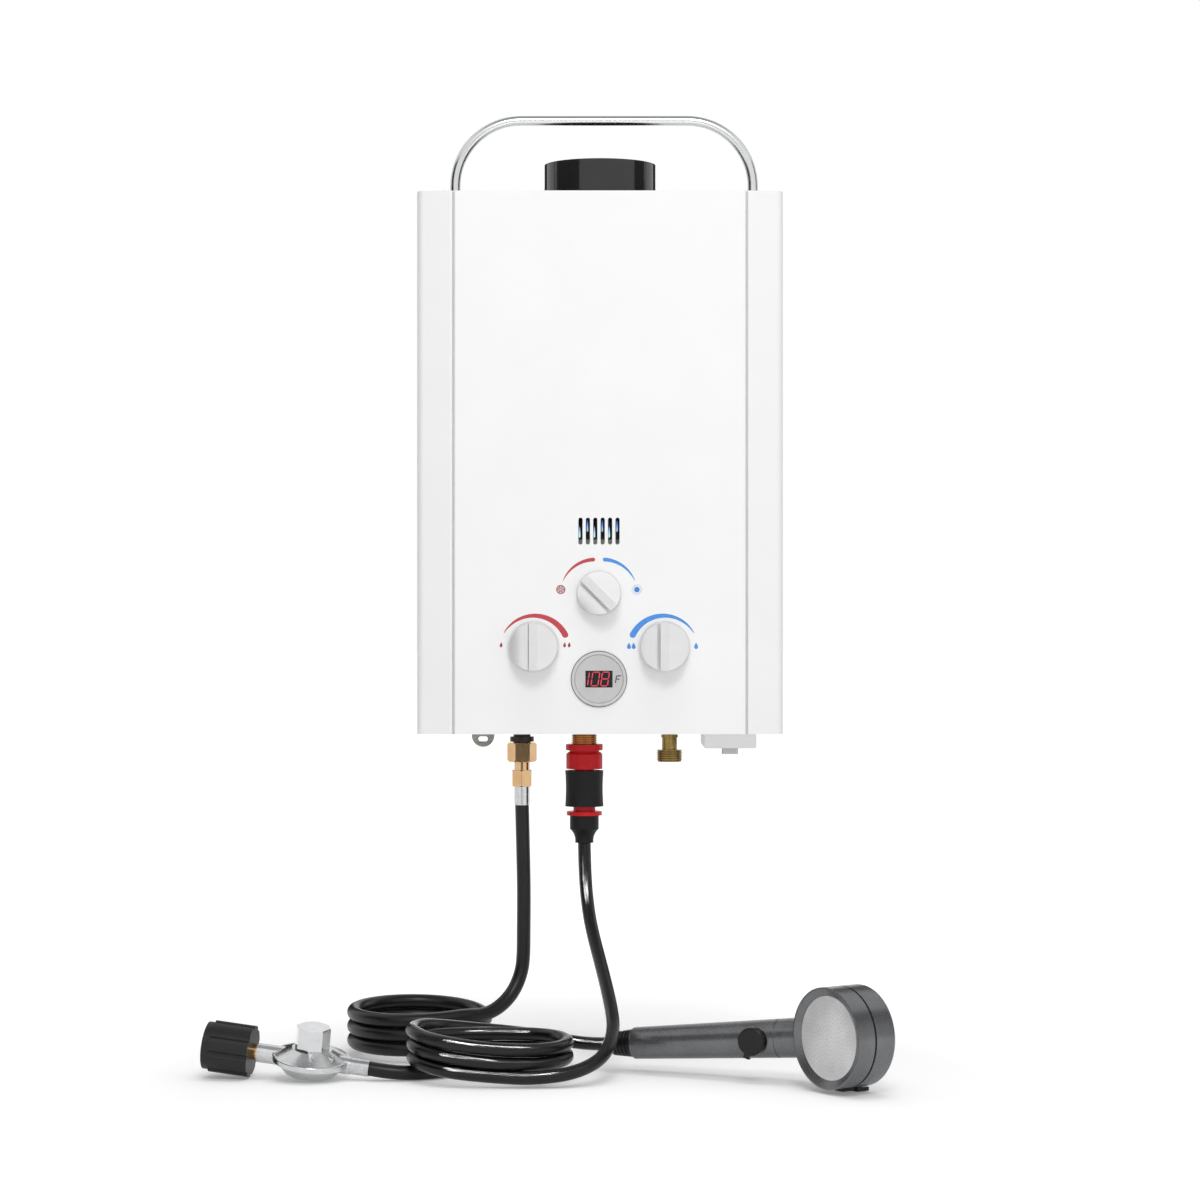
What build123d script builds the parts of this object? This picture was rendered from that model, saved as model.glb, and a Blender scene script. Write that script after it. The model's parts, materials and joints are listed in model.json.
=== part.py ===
from build123d import *
import math
import os

os.makedirs("parts", exist_ok=True)

# A wall-hung portable propane water heater with its gas line and its hand shower.
# Millimetres. The origin is the wall-hanging keyhole on the rear face of the back plate:
# X to the right, Y into the wall, Z up. The wall is the plane y = 0.

# ---------------------------------------------------------------- casing
BODY_W = 290.0
BODY_H = 430.0
BODY_D = 125.0
KEYHOLE_DROP = 50.0          # keyhole below the top edge of the casing
SHEET = 1.0                  # casing panels
BACK_T = 1.2                 # back plate
PANEL_FIT = 0.2              # clearance of a panel inside its neighbour
CORNER_R = 6.0               # outer edge of a side column
COLUMN_SLOPE = 4.5           # how far a side column falls back at its outer edge
COLUMN_SET = 0.4             # side column behind the front panel
COLUMN_STRIP = 3.0           # flat strip of a side column beside the seam
COLUMN_W = 29.0              # side column beside the front panel
SEAM_GAP = 1.2
LIP = 12.0                   # folded edge beside the seam
BEND_R = 1.4
LIP_RELIEF = 5.0             # lips stop short of the top and bottom panels
PANEL_SET = 0.6              # top and bottom panels behind the front panel's inner face
PANEL_CORNER = 2.6           # and behind the side columns' slope
FLANGE = 14.0                # forward flanges of the back plate
PANEL_FLANGE = 9.0           # downward and upward flanges of the top and bottom panels
SEAM_X = BODY_W / 2 - COLUMN_W
Z_TOP = KEYHOLE_DROP
Z_BOTTOM = Z_TOP - BODY_H
FRONT_Y = -BODY_D
MID_Y = -BODY_D / 2

KEYHOLE_R = 5.0
KEYHOLE_NECK_R = 2.6
KEYHOLE_NECK = 10.0
TAB_X = 97.0                 # lower wall tabs
TAB_W = 18.6
TAB_REACH = 15.6
TAB_SLOT_L = 8.0
TAB_SLOT_W = 4.2
TAB_SLOT_DROP = 9.0
SCREW_R = 2.0
SCREW_HEAD_R = 3.6
SCREW_HEAD_T = 1.2
SCREW_Y = -8.0
SCREW_INSET_Z = 60.0
SCREW_L = 7.0

# ---------------------------------------------------------------- handle and flue
HANDLE_D = 8.0
HANDLE_SPAN = 241.0          # between the legs' centre lines
HANDLE_SHIFT = 3.3           # the handle sits a little to the right
HANDLE_CORNER_R = 53.0
HANDLE_RISE = 64.4           # bar centre above the casing
PIVOT_RISE = 5.5             # handle pivot above the casing
PIN_R = 1.9
PIN_FIT = 0.08
EAR_T = 2.0
EAR_GAP = 0.3
EAR_R = 2.6
BRACKET_BASE_T = 1.0
BRACKET_L = 22.0
FLUE_R = 45.0
FLUE_H = 28.0
FLUE_T = 1.2
FLUE_FLANGE_R = 50.0
FLUE_FLANGE_T = 1.0
GRILLE_T = 1.0
GRILLE_DROP = 1.5
GRILLE_RINGS = 4
GRILLE_BAR = 2.4
GRILLE_HUB_R = 6.0

# ---------------------------------------------------------------- controls on the front panel
CONTROLS_X = -0.8
KNOB_X = 51.8
KNOB_RISE = 69.3             # side knobs above the casing's bottom edge
MODE_RISE = 111.7
DISPLAY_RISE = 43.7
SLOT_RISE = 160.7
SLOT_COUNT = 6
SLOT_PITCH = 5.85
SLOT_W = 3.3
SLOT_L = 21.3
SIDE_KNOB_R = 19.4
MODE_KNOB_R = 17.4
KNOB_TAPER = 0.8
KNOB_H = 17.0
KNOB_FLANGE_T = 2.2
KNOB_FLANGE_LIP = 0.9
KNOB_GAP = 0.6
KNOB_RIB_W = 6.8
KNOB_STEP_LEFT = 1.0
KNOB_STEP_RIGHT = 0.5
KNOB_FALL = 3.8              # fall of the face towards the knob's edge
KNOB_ROUND_FALL = 8.5        # the same where the left face is rounded over
KNOB_ROUND_SHARE = 0.22      # share of that fall halfway out
KNOB_GROOVE_DEPTH = 8.0      # groove along the rib's left side
KNOB_GROOVE_W = 2.5
KNOB_GROOVE_THIN = 0.6
KNOB_MARK = 2.6              # square mark near the lower end of the rib
KNOB_MARK_R = 0.8
KNOB_MARK_DEPTH = 0.4
KNOB_MARK_INSET = 4.5
KNOB_SHAFT_R = 3.0
KNOB_HOLE_R = 4.2
SHAFT_FIT = 0.08
MODE_TILT = 45.0             # the mode knob rests turned to the upper left
BEZEL_R = 21.7
BEZEL_INNER_R = 19.2
BEZEL_T = 2.5
BEZEL_SLEEVE_R = 18.4
BEZEL_SLEEVE_INNER_R = 17.4
BEZEL_SLEEVE_L = 6.0
BEZEL_CHAMFER = 0.6
BEZEL_FLOOR_T = 0.4          # ledge that carries the face and the display
DISPLAY_FACE_T = 1.2
DISPLAY_SINK = 0.3           # window below the face
DISPLAY_W = 21.3
DISPLAY_H = 13.1
DISPLAY_BODY_W = 29.0
DISPLAY_BODY_H = 16.0
DISPLAY_BODY_T = 8.0

# ---------------------------------------------------------------- battery box
BATTERY_SET = 41.3           # box centre from the casing's right side
BATTERY_X = BODY_W / 2 - BATTERY_SET
BATTERY_W = 42.0
BATTERY_FRONT_Y = -105.0
BATTERY_REAR_Y = -28.0
BATTERY_H = 70.0
BATTERY_WALL = 2.0
DOOR_H = 11.7
DOOR_GAP = 0.4
DOOR_WALL = 2.0
DOOR_CORNER_R = 1.6
HINGE_Y = -25.5
HINGE_Z = Z_BOTTOM - 3.0
HINGE_R = 2.2
HINGE_PIN_R = 1.0
KNUCKLE_L = 22.0
HINGE_EAR_T = 5.0
HINGE_EAR_R = 1.76
HINGE_EAR_H = 8.0
LATCH_W = 12.8
LATCH_L = 9.0
LATCH_H = 4.6
LATCH_EDGE_R = 1.5
LATCH_TRAVEL = 4.0
LATCH_STEM_W = 7.0
LATCH_STEM_L = 3.0
LATCH_FIT = 0.3
CELL_R = 16.6
CELL_H = 61.0
CELL_TIP_R = 4.5
CELL_TIP_H = 1.5
CELL_GAP = 1.0
EAR_LINK_T = 3.0
KNUCKLE_LINK_T = 2.4
DOOR_EDGE_R = 1.2
LATCH_INSET = 1.0
LATCH_HOOK_T = 1.5
BOX_LEDGE = 2.0

# ---------------------------------------------------------------- burner and exchanger
CORE_W = 170.0
CORE_FRONT_Y = -96.0
CORE_REAR_Y = -22.0
TRAY_RISE = 97.0             # burner tray above the casing's bottom edge
TRAY_H = 51.0
TRAY_BOTTOM = Z_BOTTOM + TRAY_RISE
TRAY_TOP = TRAY_BOTTOM + TRAY_H
CORE_SHEET = 1.0
BURNER_COUNT = 8
BURNER_PITCH = 19.0
BURNER_W = 9.0
BURNER_LEAD = 3.0
MANIFOLD_Y = -104.0
MANIFOLD_S = 11.0
MANIFOLD_RISE = 7.0
MANIFOLD_Z = TRAY_BOTTOM + MANIFOLD_RISE
MANIFOLD_L = 160.0
JET_R = 1.6
FLAME_GAP = 34.0             # between the tray and the exchanger
FIN_DROP = 84.0              # fins below the casing's top edge
FIN_H = 36.0
EXCHANGER_BOTTOM = TRAY_TOP + FLAME_GAP
FIN_TOP = Z_TOP - FIN_DROP
EXCHANGER_TOP = FIN_TOP - FIN_H
FIN_COUNT = 26
FIN_T = 0.8
TUBE_R = 6.0
HOOD_NECK = 12.0
HOOD_CORNER_R = 10.0
FIN_CLEAR = 2.0
PASS_PITCH = 24.0            # between the tubes through the fins
ARM_H = 30.0                 # rear arms that carry the exchanger
BAR_CLEAR = 4.0              # burner bars below the tray's rim
SLIT_DEPTH = 6.0
JET_ENTRY = 2.0
ELECTRODE_X = 12.0
ELECTRODE_RISE = 4.0         # rods above the tray's rim
CERAMIC_R = 2.5
CERAMIC_L = 14.0
ELECTRODE_R = 0.8
ELECTRODE_L = 26.0
ELECTRODE_PLATE_W = 34.0
ELECTRODE_PLATE_T = 2.0
ELECTRODE_PLATE_H = 14.0
WRAP_GAP = 1.3               # water tube off the burner housing
TUBE_BEND = 10.0
TUBE_RETURN = 14.0           # the down run behind the core's middle
VALVE_PORT_RISE = 10.7
SIDE_RISE = 43.0
SIDE_SET = 12.0
WRAP_RISES = [18.0, 33.0, 48.0, 63.0, 78.0, 93.0, 103.0]     # above the exchanger's lower edge
DOWN_RISES = [78.0, -2.0]
DOWN_DROPS = [17.0, 52.0, 57.0, 49.0]                         # below the tray
DOWN_SETS = [2.0, 3.0, 12.5]
LOW_RUN_X = -45.0
HOT_LEAD = 1.3
HOT_ENTRY = 22.0

# ---------------------------------------------------------------- valves
VALVE_Z = Z_BOTTOM + KNOB_RISE
VALVE_H = 46.0
VALVE_FRONT_Y = -108.0
VALVE_REAR_Y = -54.0
GAS_VALVE_LEFT = -84.0
GAS_VALVE_RIGHT = -30.0
WATER_VALVE_LEFT = 32.0
WATER_VALVE_RIGHT = 80.0
VALVE_BOSS_R = 9.0
VALVE_BOSS_L = 8.0
SHAFT_DEPTH = 14.0
DIAPHRAGM_R = 22.0
DIAPHRAGM_T = 9.0
ROD_R = 2.0
ROD_TRAVEL = 3.0
ROD_Y = -75.0
ROD_COLLAR_AT = 6.0
ROD_COLLAR_T = 2.0
ROD_ENGAGE = 6.0
VALVE_EDGE_R = 3.0
GAS_PIPE_IN = 24.0           # riser to the manifold, from the valve's left end
SOLENOID_RISE = 6.0
SOLENOID_R = 11.0
SOLENOID_L = 18.0
SOLENOID_CORE_R = 8.0
SOLENOID_CORE_L = 26.0
SWITCH_X = -7.0
SWITCH_L = 20.0
SWITCH_W = 8.0
SWITCH_H = 10.0
SWITCH_RISE = 16.0           # underside above the rod's axis
SWITCH_ARM_T = 2.0
SWITCH_ARM_END = -44.0
SWITCH_BLADE_T = 1.0
SWITCH_BLADE_RISE = 3.0
IGNITER_W = 40.0
IGNITER_D = 30.0
IGNITER_H = 70.0
IGNITER_CLEAR = 3.0          # beside the burner tray
IGNITER_RISE = 33.0
IGNITER_X = CORE_W / 2 + IGNITER_CLEAR + IGNITER_W / 2
IGNITER_Z = TRAY_BOTTOM + IGNITER_RISE

# ---------------------------------------------------------------- pipe ends below the casing
GAS_X = -63.2
HOT_X = -12.7
COLD_X = 56.3
THREAD_R = 10.48             # G1/2 major radius
THREAD_ROOT_R = 9.5
THREAD_PITCH = 1.814
THREAD_LAND = 0.5
LOCKNUT_R = 13.0
LOCKNUT_T = 3.0
NECK_COLLAR = 0.8
COLD_COLLAR_AT = -5.0
COLD_COLLAR_T = 2.0
COLD_THREAD_TOP = -15.2
COLD_THREAD_BOTTOM = -24.6
COLD_BORE_DEPTH = 8.0
PIPE_WALL = 2.5
HOT_THREAD_BOTTOM = -20.0
HOT_TOP = 20.0
GAS_LOCKNUT_R = 11.0

# ---------------------------------------------------------------- floor, hoses and coils
FLOOR_DROP = 262.0           # floor below the casing's bottom edge
FLOOR_Z = Z_BOTTOM - FLOOR_DROP
COIL_CLEAR = 0.3
GAS_HOSE_D = 11.3
SHOWER_HOSE_D = 10.5
GAS_COIL_X = -146.0
GAS_COIL_Y = -62.5
GAS_COIL_R = 54.0
GAS_COIL_H = 44.0
SHOWER_COIL_X = -84.3
SHOWER_COIL_Y = -200.0
SHOWER_COIL_A = 60.0         # half width
SHOWER_COIL_B = 41.0         # half depth
SHOWER_COIL_LIFT = 7.9       # mean height of the tilted coil's underside
SHOWER_COIL_H = 31.0
LIFT_LEFT = 0.67             # the underside rises to the left ...
LIFT_BACK = 0.60             # ... and to the back, over the gas hose

# The hoses' routes: X, Y and height above the floor.
GAS_DROP = [
    (GAS_X, MID_Y, 202.2), (-62.4, -61.4, 169.0), (-61.6, -62.0, 134.0),
    (-61.8, -62.7, 103.0), (-62.0, -62.5, 75.8), (-64.8, -64.9, 62.8),
    (-70.3, -69.5, 51.3), (-78.0, -75.9, 42.7), (-87.3, -83.7, 37.1),
    (-97.2, -92.1, 35.4), (-106.4, -99.8, 36.4),
]
GAS_TAIL = [
    (-92.0, -62.5, 5.9), (-91.5, -92.0, 5.9), (-92.5, -122.0, 5.8),
    (-97.5, -152.0, 5.8), (-109.0, -177.0, 5.8), (-125.0, -194.0, 5.8),
    (-145.0, -203.0, 5.8), (-162.0, -205.6, 7.2), (-176.4, -204.0, 9.4),
]
SHOWER_DROP = [
    (HOT_X, MID_Y, 171.8), (-12.3, -67.0, 145.8), (-9.3, -84.0, 117.5),
    (-5.3, -102.0, 100.1), (-0.2, -121.0, 83.1), (4.7, -142.0, 66.3),
    (8.9, -165.0, 50.2), (10.7, -188.0, 38.3), (6.9, -209.0, 26.3),
    (-1.5, -224.0, 17.4), (-19.6, -236.0, 10.8), (-41.5, -241.0, 8.2),
    (-62.5, -241.0, 7.5),
]
SHOWER_TAIL = [
    (-144.3, -200.0, 38.8), (-143.2, -184.0, 38.6), (-136.0, -168.5, 38.3),
    (-122.0, -155.0, 35.5), (-101.0, -147.5, 32.6), (-76.0, -142.5, 29.6),
    (-52.0, -138.8, 26.6), (-30.1, -136.5, 22.0), (-14.0, -140.7, 20.2),
    (0.3, -147.4, 20.3), (11.6, -152.7, 21.4),
]

# ---------------------------------------------------------------- gas line fittings
NIPPLE_R = 6.9
NIPPLE_FLANGE_R = 9.6
NIPPLE_FLANGE_AT = -8.4
NIPPLE_FLANGE_T = 3.9
HEX_BARREL = 0.572           # turned corners of a hexagon, as shares of its width across flats
HEX_CHAMFER = 0.06
BIG_HEX_AF = 20.8
BIG_HEX_TURN = 4.0
BIG_HEX_TOP = -9.2           # heights below the casing's bottom edge
BIG_HEX_BOTTOM = -24.7
NECK_R = 6.0
SMALL_HEX_AF = 15.4
SMALL_HEX_TURN = 30.0
SMALL_HEX_TOP = -31.4
SMALL_HEX_BOTTOM = -44.8
FERRULE_R = 5.95
END_FERRULE_R = 6.3
END_FERRULE_L = 14.7
REGULATOR_YAW = 8.0
REGULATOR_PITCH = 7.0
REGULATOR_ROLL = 10.0        # the disc leans towards the front
DISC_AT = 46.0               # disc centre along the axis, from the hose's end
DISC_R = 30.3
DISC_RIM_T = 5.0
DISC_RIM_DROP = 1.0
BOWL_INSET = 3.0
BONNET_INSET = 2.0
DISC_EDGE_R = 1.2
BOWL_R = 20.0
BOWL_DEPTH = 9.5
BONNET_TOP_R = 15.5
BONNET_H = 6.0
CAP_R = 13.5
CAP_H = 17.0
CAP_SIDES = 8
CAP_CHAMFER = 0.8
OUTLET_BOSS_R = 6.8
INLET_BOSS_R = 7.4
INLET_BOSS_END = 88.0
BRASS_R = 6.1
BRASS_COLLAR_R = 9.0
BRASS_COLLAR_T = 3.0
BRASS_NOSE_R = 5.0
BRASS_NOSE_SET = 3.0
NUT_START = 92.5
NUT_L = 36.5
NUT_R = 19.8
NUT_RIM_R = 18.2
NUT_RIM_L = 5.0
NUT_SCALLOPS = 8
SCALLOP_R = 3.4
SCALLOP_OUT = 1.6
NUT_BORE_R = 15.5
NUT_FLOOR = 7.0
NUT_FIT = 0.3

# ---------------------------------------------------------------- shower line fittings
TAP_FLANGE_R = 14.85
TAP_FLANGE_TOP = -10.6
TAP_FLANGE_BOTTOM = -15.3
TAP_NECK_R = 12.0
TAP_BODY_R = 14.6
TAP_CHAMFER = 1.5
THREAD_FIT = 0.32
TAP_BODY_TOP = -17.0
TAP_BODY_BOTTOM = -30.4
SPIGOT_R = 8.0
SPIGOT_BOTTOM = -52.0
SLEEVE_R = 15.5
SLEEVE_WAIST_R = 14.9
SLEEVE_TOP = -31.9
SLEEVE_BOTTOM = -60.7
SLEEVE_TRAVEL = 4.0
BARREL_R = 12.0
BARREL_TOP = -32.4
BARREL_BOTTOM = -61.0
SLEEVE_FIT = 0.3
QUICK_NECK_R = 8.9
QUICK_FLANGE_TOP = -65.0
QUICK_FLANGE_BOTTOM = -68.0
QUICK_FLANGE_R = 14.2
HOSE_NUT_R = 11.65
HOSE_NUT_BOTTOM = -79.2
HOSE_NUT_END_R = 7.45
HOSE_NUT_WAIST_R = 8.4
HOSE_NUT_WAIST = -83.6
HOSE_NUT_END = SHOWER_DROP[0][2] - FLOOR_DROP

# ---------------------------------------------------------------- hand shower
TAIL_X = 27.0
TAIL_Y = -160.0
TAIL_HEIGHT = 22.9           # above the floor
HANDLE_TAIL = Vector(TAIL_X, TAIL_Y, FLOOR_Z + TAIL_HEIGHT)
GRIP_DIR = Vector(0.904, -0.427, 0.089).normalized()
GRIP_L = 132.5
GRIP_TAIL_R = 12.3
GRIP_HEAD_R = 15.1
GRIP_EDGE_R = 1.5
GRIP_BORE_R = 6.5
GRIP_PLUG = 4.0
GROOVE_AT = 122.5
GROOVE_W = 1.0
GROOVE_DEPTH = 0.7
HOSE_END_L = 17.0
HOSE_END_R = 11.0
HOSE_END_START_R = 9.0
HOSE_END_GROOVES = 4
HOSE_END_PITCH = 3.2
HOSE_END_GROOVE_W = 1.2
HOSE_END_GROOVE = 0.8
SHOWER_KNOB_AT = 106.0
SHOWER_KNOB_R = 10.85
SHOWER_KNOB_H = 6.5
SHOWER_KNOB_EDGE_R = 1.5
STUB_ANGLE = -112.0          # small lever of the on/off knob
STUB_AT = 10.0
STUB_L = 7.0
STUB_W = 5.0
STUB_T = 3.6
STUB_RISE = 2.8
SHOWER_SEAT_R = 11.6
SHOWER_SEAT = 12.6           # seat of the on/off knob, from the grip's axis
SHOWER_SHAFT_R = 2.6
SHOWER_SHAFT_END = 2.0       # from the grip's axis
FACE_X = 167.8
FACE_Y = -272.0
FACE_HEIGHT = 41.8
FACE_CENTRE = Vector(FACE_X, FACE_Y, FLOOR_Z + FACE_HEIGHT)
FACE_NORMAL = Vector(-0.807, -0.591, 0.0).normalized()
HEAD_R = 38.0
HEAD_DEPTH = 37.0
HEAD_SEAM = 16.7             # middle of the lever's ring
HEAD_WALL = 2.5
RIM_EDGE = 1.2               # flat front edge of the rim
RIM_INNER_R = 31.6
RIM_DISH = 3.0               # depth of the rim's cone
RIM_BACK = 15.8
PLATE_FIT = 0.2
PLATE_T = 1.1
PLATE_BACK = 4.2
CORE_R = 28.7
CORE_WALL = 2.7
CORE_START = 8.0
SHELL_START = 17.6
SHELL_FLOOR = 34.5
LEVER_RING_T = 1.2
LEVER_RING_R = 37.4
LEVER_NECK_W = 7.0
TONGUE_W = 9.0
TONGUE_R = 40.3
TONGUE_START = 13.0
TONGUE_END = 27.0
BLOCK_W = 12.0
BLOCK_R = 41.3
BLOCK_START = 26.0
BLOCK_END = 37.5
HEAD_EDGE_R = 3.0
HEAD_NECK_R = 7.0
HEAD_NECK_L = 29.0


def tube_radii(points):
    """Corner radii of a hose's route: 0.45 of the shorter run over the tangent of half the turn."""
    radii = []
    for before, here, after in zip(points, points[1:], points[2:]):
        run_in = Vector(*here) - Vector(*before)
        run_out = Vector(*after) - Vector(*here)
        half_turn = math.radians(run_in.get_angle(run_out) / 2)
        radii.append(0.45 * min(run_in.length, run_out.length) / math.tan(half_turn))
    return radii


def hose(points, diameter):
    """A round hose along straight runs joined by tangent arcs, from points given by their height above the floor."""
    points = [(x, y, FLOOR_Z + height) for x, y, height in points]
    with BuildPart() as tube:
        with BuildLine() as route:
            FilletPolyline(*points, radius=tube_radii(points))
        with BuildSketch(Plane(origin=route.line @ 0, z_dir=route.line % 0)):
            Circle(diameter / 2)
        sweep()
    return tube


def bent_sheet(points, radii, side):
    """Plan section of a folded sheet along its outer faces."""
    with BuildSketch() as section:
        with BuildLine():
            FilletPolyline(*points, radius=radii)
            offset(amount=SHEET, side=side)
        make_face()
    return section.sketch


def thread_crests(top, bottom):
    """Lands of a screw thread as rings from top down to bottom, round the current origin."""
    count = round((top - bottom) / THREAD_PITCH)
    for index in range(count):
        centre = top - THREAD_LAND / 2 - index * THREAD_PITCH
        with Locations((0, 0, centre)):
            Cylinder(THREAD_R, THREAD_LAND)


FRONT = Plane(origin=(0, FRONT_Y, 0), x_dir=(1, 0, 0), z_dir=(0, -1, 0))
BASE = (Align.CENTER, Align.CENTER, Align.MIN)
HANG = (Align.CENTER, Align.CENTER, Align.MAX)

# ================================================================ casing
column_outer = [
    (-BODY_W / 2, -BACK_T),
    (-BODY_W / 2, FRONT_Y + COLUMN_SLOPE),
    (-SEAM_X - COLUMN_STRIP, FRONT_Y + COLUMN_SET),
    (-SEAM_X - SEAM_GAP / 2, FRONT_Y + COLUMN_SET),
    (-SEAM_X - SEAM_GAP / 2, FRONT_Y + LIP),
]
with BuildPart() as left_side:
    with BuildSketch(Plane.XY.offset(Z_BOTTOM)):
        add(bent_sheet(column_outer, (CORNER_R, CORNER_R, BEND_R), Side.LEFT))
    extrude(amount=BODY_H)
    for end_z in (Z_TOP, Z_BOTTOM):
        with Locations((-SEAM_X - LIP / 4, FRONT_Y + LIP, end_z)):
            Box(LIP / 2, 2 * (LIP - 2 * SHEET), 2 * LIP_RELIEF, mode=Mode.SUBTRACT)
    for screw_z in (Z_TOP - SCREW_INSET_Z, Z_BOTTOM + SCREW_INSET_Z):
        with Locations(Location((-BODY_W / 2, SCREW_Y, screw_z), (0, 90, 0))):
            Cylinder(SCREW_R + PANEL_FIT, 4 * SHEET, mode=Mode.SUBTRACT)
left_side.part.label = "left_side_panel"
export_step(left_side.part, "parts/left_side_panel.step")

with BuildPart() as right_side:
    mirror(left_side.part, about=Plane.YZ)
right_side.part.label = "right_side_panel"
export_step(right_side.part, "parts/right_side_panel.step")

panel_half = SEAM_X - SEAM_GAP / 2
front_outer = [
    (-panel_half, FRONT_Y + LIP), (-panel_half, FRONT_Y), (panel_half, FRONT_Y), (panel_half, FRONT_Y + LIP),
]
knob_places = [(CONTROLS_X - KNOB_X, Z_BOTTOM + KNOB_RISE), (CONTROLS_X + KNOB_X, Z_BOTTOM + KNOB_RISE),
               (CONTROLS_X, Z_BOTTOM + MODE_RISE)]
with BuildPart() as front_panel:
    with BuildSketch(Plane.XY.offset(Z_BOTTOM)):
        add(bent_sheet(front_outer, (BEND_R, BEND_R), Side.LEFT))
    extrude(amount=BODY_H)
    for end_z in (Z_TOP, Z_BOTTOM):
        with Locations((0, FRONT_Y + LIP, end_z)):
            Box(BODY_W, 2 * (LIP - 2 * SHEET), 2 * LIP_RELIEF, mode=Mode.SUBTRACT)
    with BuildSketch(FRONT):
        with Locations((CONTROLS_X, Z_BOTTOM + SLOT_RISE)):
            with GridLocations(SLOT_PITCH, 1, SLOT_COUNT, 1):
                SlotOverall(SLOT_L, SLOT_W, rotation=90)
        with Locations(*knob_places):
            Circle(KNOB_HOLE_R)
        with Locations((CONTROLS_X, Z_BOTTOM + DISPLAY_RISE)):
            Circle(BEZEL_SLEEVE_R + PANEL_FIT)
    extrude(amount=-4 * SHEET, mode=Mode.SUBTRACT)
front_panel.part.label = "front_panel"
export_step(front_panel.part, "parts/front_panel.step")

inner_half = BODY_W / 2 - SHEET - PANEL_FIT
with BuildPart() as back_plate:
    with BuildSketch(Plane.XZ):
        with Locations((0, (Z_TOP + Z_BOTTOM) / 2)):
            Rectangle(2 * inner_half, BODY_H)
        with Locations((-TAB_X, Z_BOTTOM), (TAB_X, Z_BOTTOM)):
            Rectangle(TAB_W, 2 * (TAB_REACH - TAB_W / 2))
        with Locations((-TAB_X, Z_BOTTOM - TAB_REACH + TAB_W / 2), (TAB_X, Z_BOTTOM - TAB_REACH + TAB_W / 2)):
            Circle(TAB_W / 2)
        Circle(KEYHOLE_R, mode=Mode.SUBTRACT)
        with Locations((0, KEYHOLE_NECK / 2)):
            SlotCenterToCenter(KEYHOLE_NECK, 2 * KEYHOLE_NECK_R, rotation=90, mode=Mode.SUBTRACT)
        with Locations((-TAB_X, Z_BOTTOM - TAB_SLOT_DROP), (TAB_X, Z_BOTTOM - TAB_SLOT_DROP)):
            SlotOverall(TAB_SLOT_L, TAB_SLOT_W, mode=Mode.SUBTRACT)
    extrude(amount=BACK_T)
    for side in (-1, 1):
        with Locations((side * (inner_half - BACK_T / 2), -(BACK_T + FLANGE) / 2, (Z_TOP + Z_BOTTOM) / 2)):
            Box(BACK_T, FLANGE - BACK_T, BODY_H - 6 * LIP_RELIEF)
        for screw_z in (Z_TOP - SCREW_INSET_Z, Z_BOTTOM + SCREW_INSET_Z):
            with Locations(Location((side * inner_half, SCREW_Y, screw_z), (0, 90, 0))):
                Cylinder(SCREW_R + PANEL_FIT, 4 * BACK_T, mode=Mode.SUBTRACT)
back_plate.part.label = "back_plate"
export_step(back_plate.part, "parts/back_plate.step")

with BuildPart() as cover_screws:
    for side in (-1, 1):
        for screw_z in (Z_TOP - SCREW_INSET_Z, Z_BOTTOM + SCREW_INSET_Z):
            with Locations(Location((side * BODY_W / 2, SCREW_Y, screw_z), (0, side * 90, 0))):
                Cylinder(SCREW_HEAD_R, SCREW_HEAD_T, align=BASE)
                Cylinder(SCREW_R, SCREW_L, align=HANG)
cover_screws.part.label = "cover_screws"
export_step(cover_screws.part, "parts/cover_screws.step")

inset = SHEET + PANEL_FIT
panel_front_y = FRONT_Y + COLUMN_SET + inset + PANEL_SET
panel_plan = [
    (-inner_half, -BACK_T), (-inner_half, FRONT_Y + COLUMN_SLOPE + inset + PANEL_CORNER),
    (-SEAM_X - COLUMN_STRIP, panel_front_y), (SEAM_X + COLUMN_STRIP, panel_front_y),
    (inner_half, FRONT_Y + COLUMN_SLOPE + inset + PANEL_CORNER), (inner_half, -BACK_T),
]
flange_half_w = panel_half - 4 * SHEET
with BuildPart() as top_panel:
    with BuildSketch(Plane.XY.offset(Z_TOP - SHEET)):
        Polygon(*panel_plan, align=None)
        with Locations((0, MID_Y)):
            Circle(FLUE_R - 2 * FLUE_T, mode=Mode.SUBTRACT)
    extrude(amount=SHEET)
    with Locations((0, panel_front_y, Z_TOP - SHEET)):
        Box(2 * flange_half_w, SHEET, PANEL_FLANGE, align=(Align.CENTER, Align.MIN, Align.MAX))
top_panel.part.label = "top_panel"
export_step(top_panel.part, "parts/top_panel.step")

battery_mid_y = (BATTERY_FRONT_Y + BATTERY_REAR_Y) / 2
battery_depth = BATTERY_REAR_Y - BATTERY_FRONT_Y
with BuildPart() as bottom_panel:
    with BuildSketch(Plane.XY.offset(Z_BOTTOM)):
        Polygon(*panel_plan, align=None)
        with Locations((GAS_X, MID_Y)):
            Circle(NIPPLE_R + PANEL_FIT, mode=Mode.SUBTRACT)
        with Locations((HOT_X, MID_Y), (COLD_X, MID_Y)):
            Circle(THREAD_R + PANEL_FIT, mode=Mode.SUBTRACT)
        with Locations((BATTERY_X, battery_mid_y)):
            Rectangle(BATTERY_W + 2 * PANEL_FIT, battery_depth + 2 * PANEL_FIT, mode=Mode.SUBTRACT)
        with Locations((BATTERY_X, HINGE_Y)):
            Rectangle(BATTERY_W + 2 * PANEL_FIT, 4 * HINGE_R, mode=Mode.SUBTRACT)
    extrude(amount=SHEET)
    with Locations((0, panel_front_y, Z_BOTTOM + SHEET)):
        Box(2 * flange_half_w, SHEET, PANEL_FLANGE, align=(Align.CENTER, Align.MIN, Align.MIN))
bottom_panel.part.label = "bottom_panel"
export_step(bottom_panel.part, "parts/bottom_panel.step")

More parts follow.
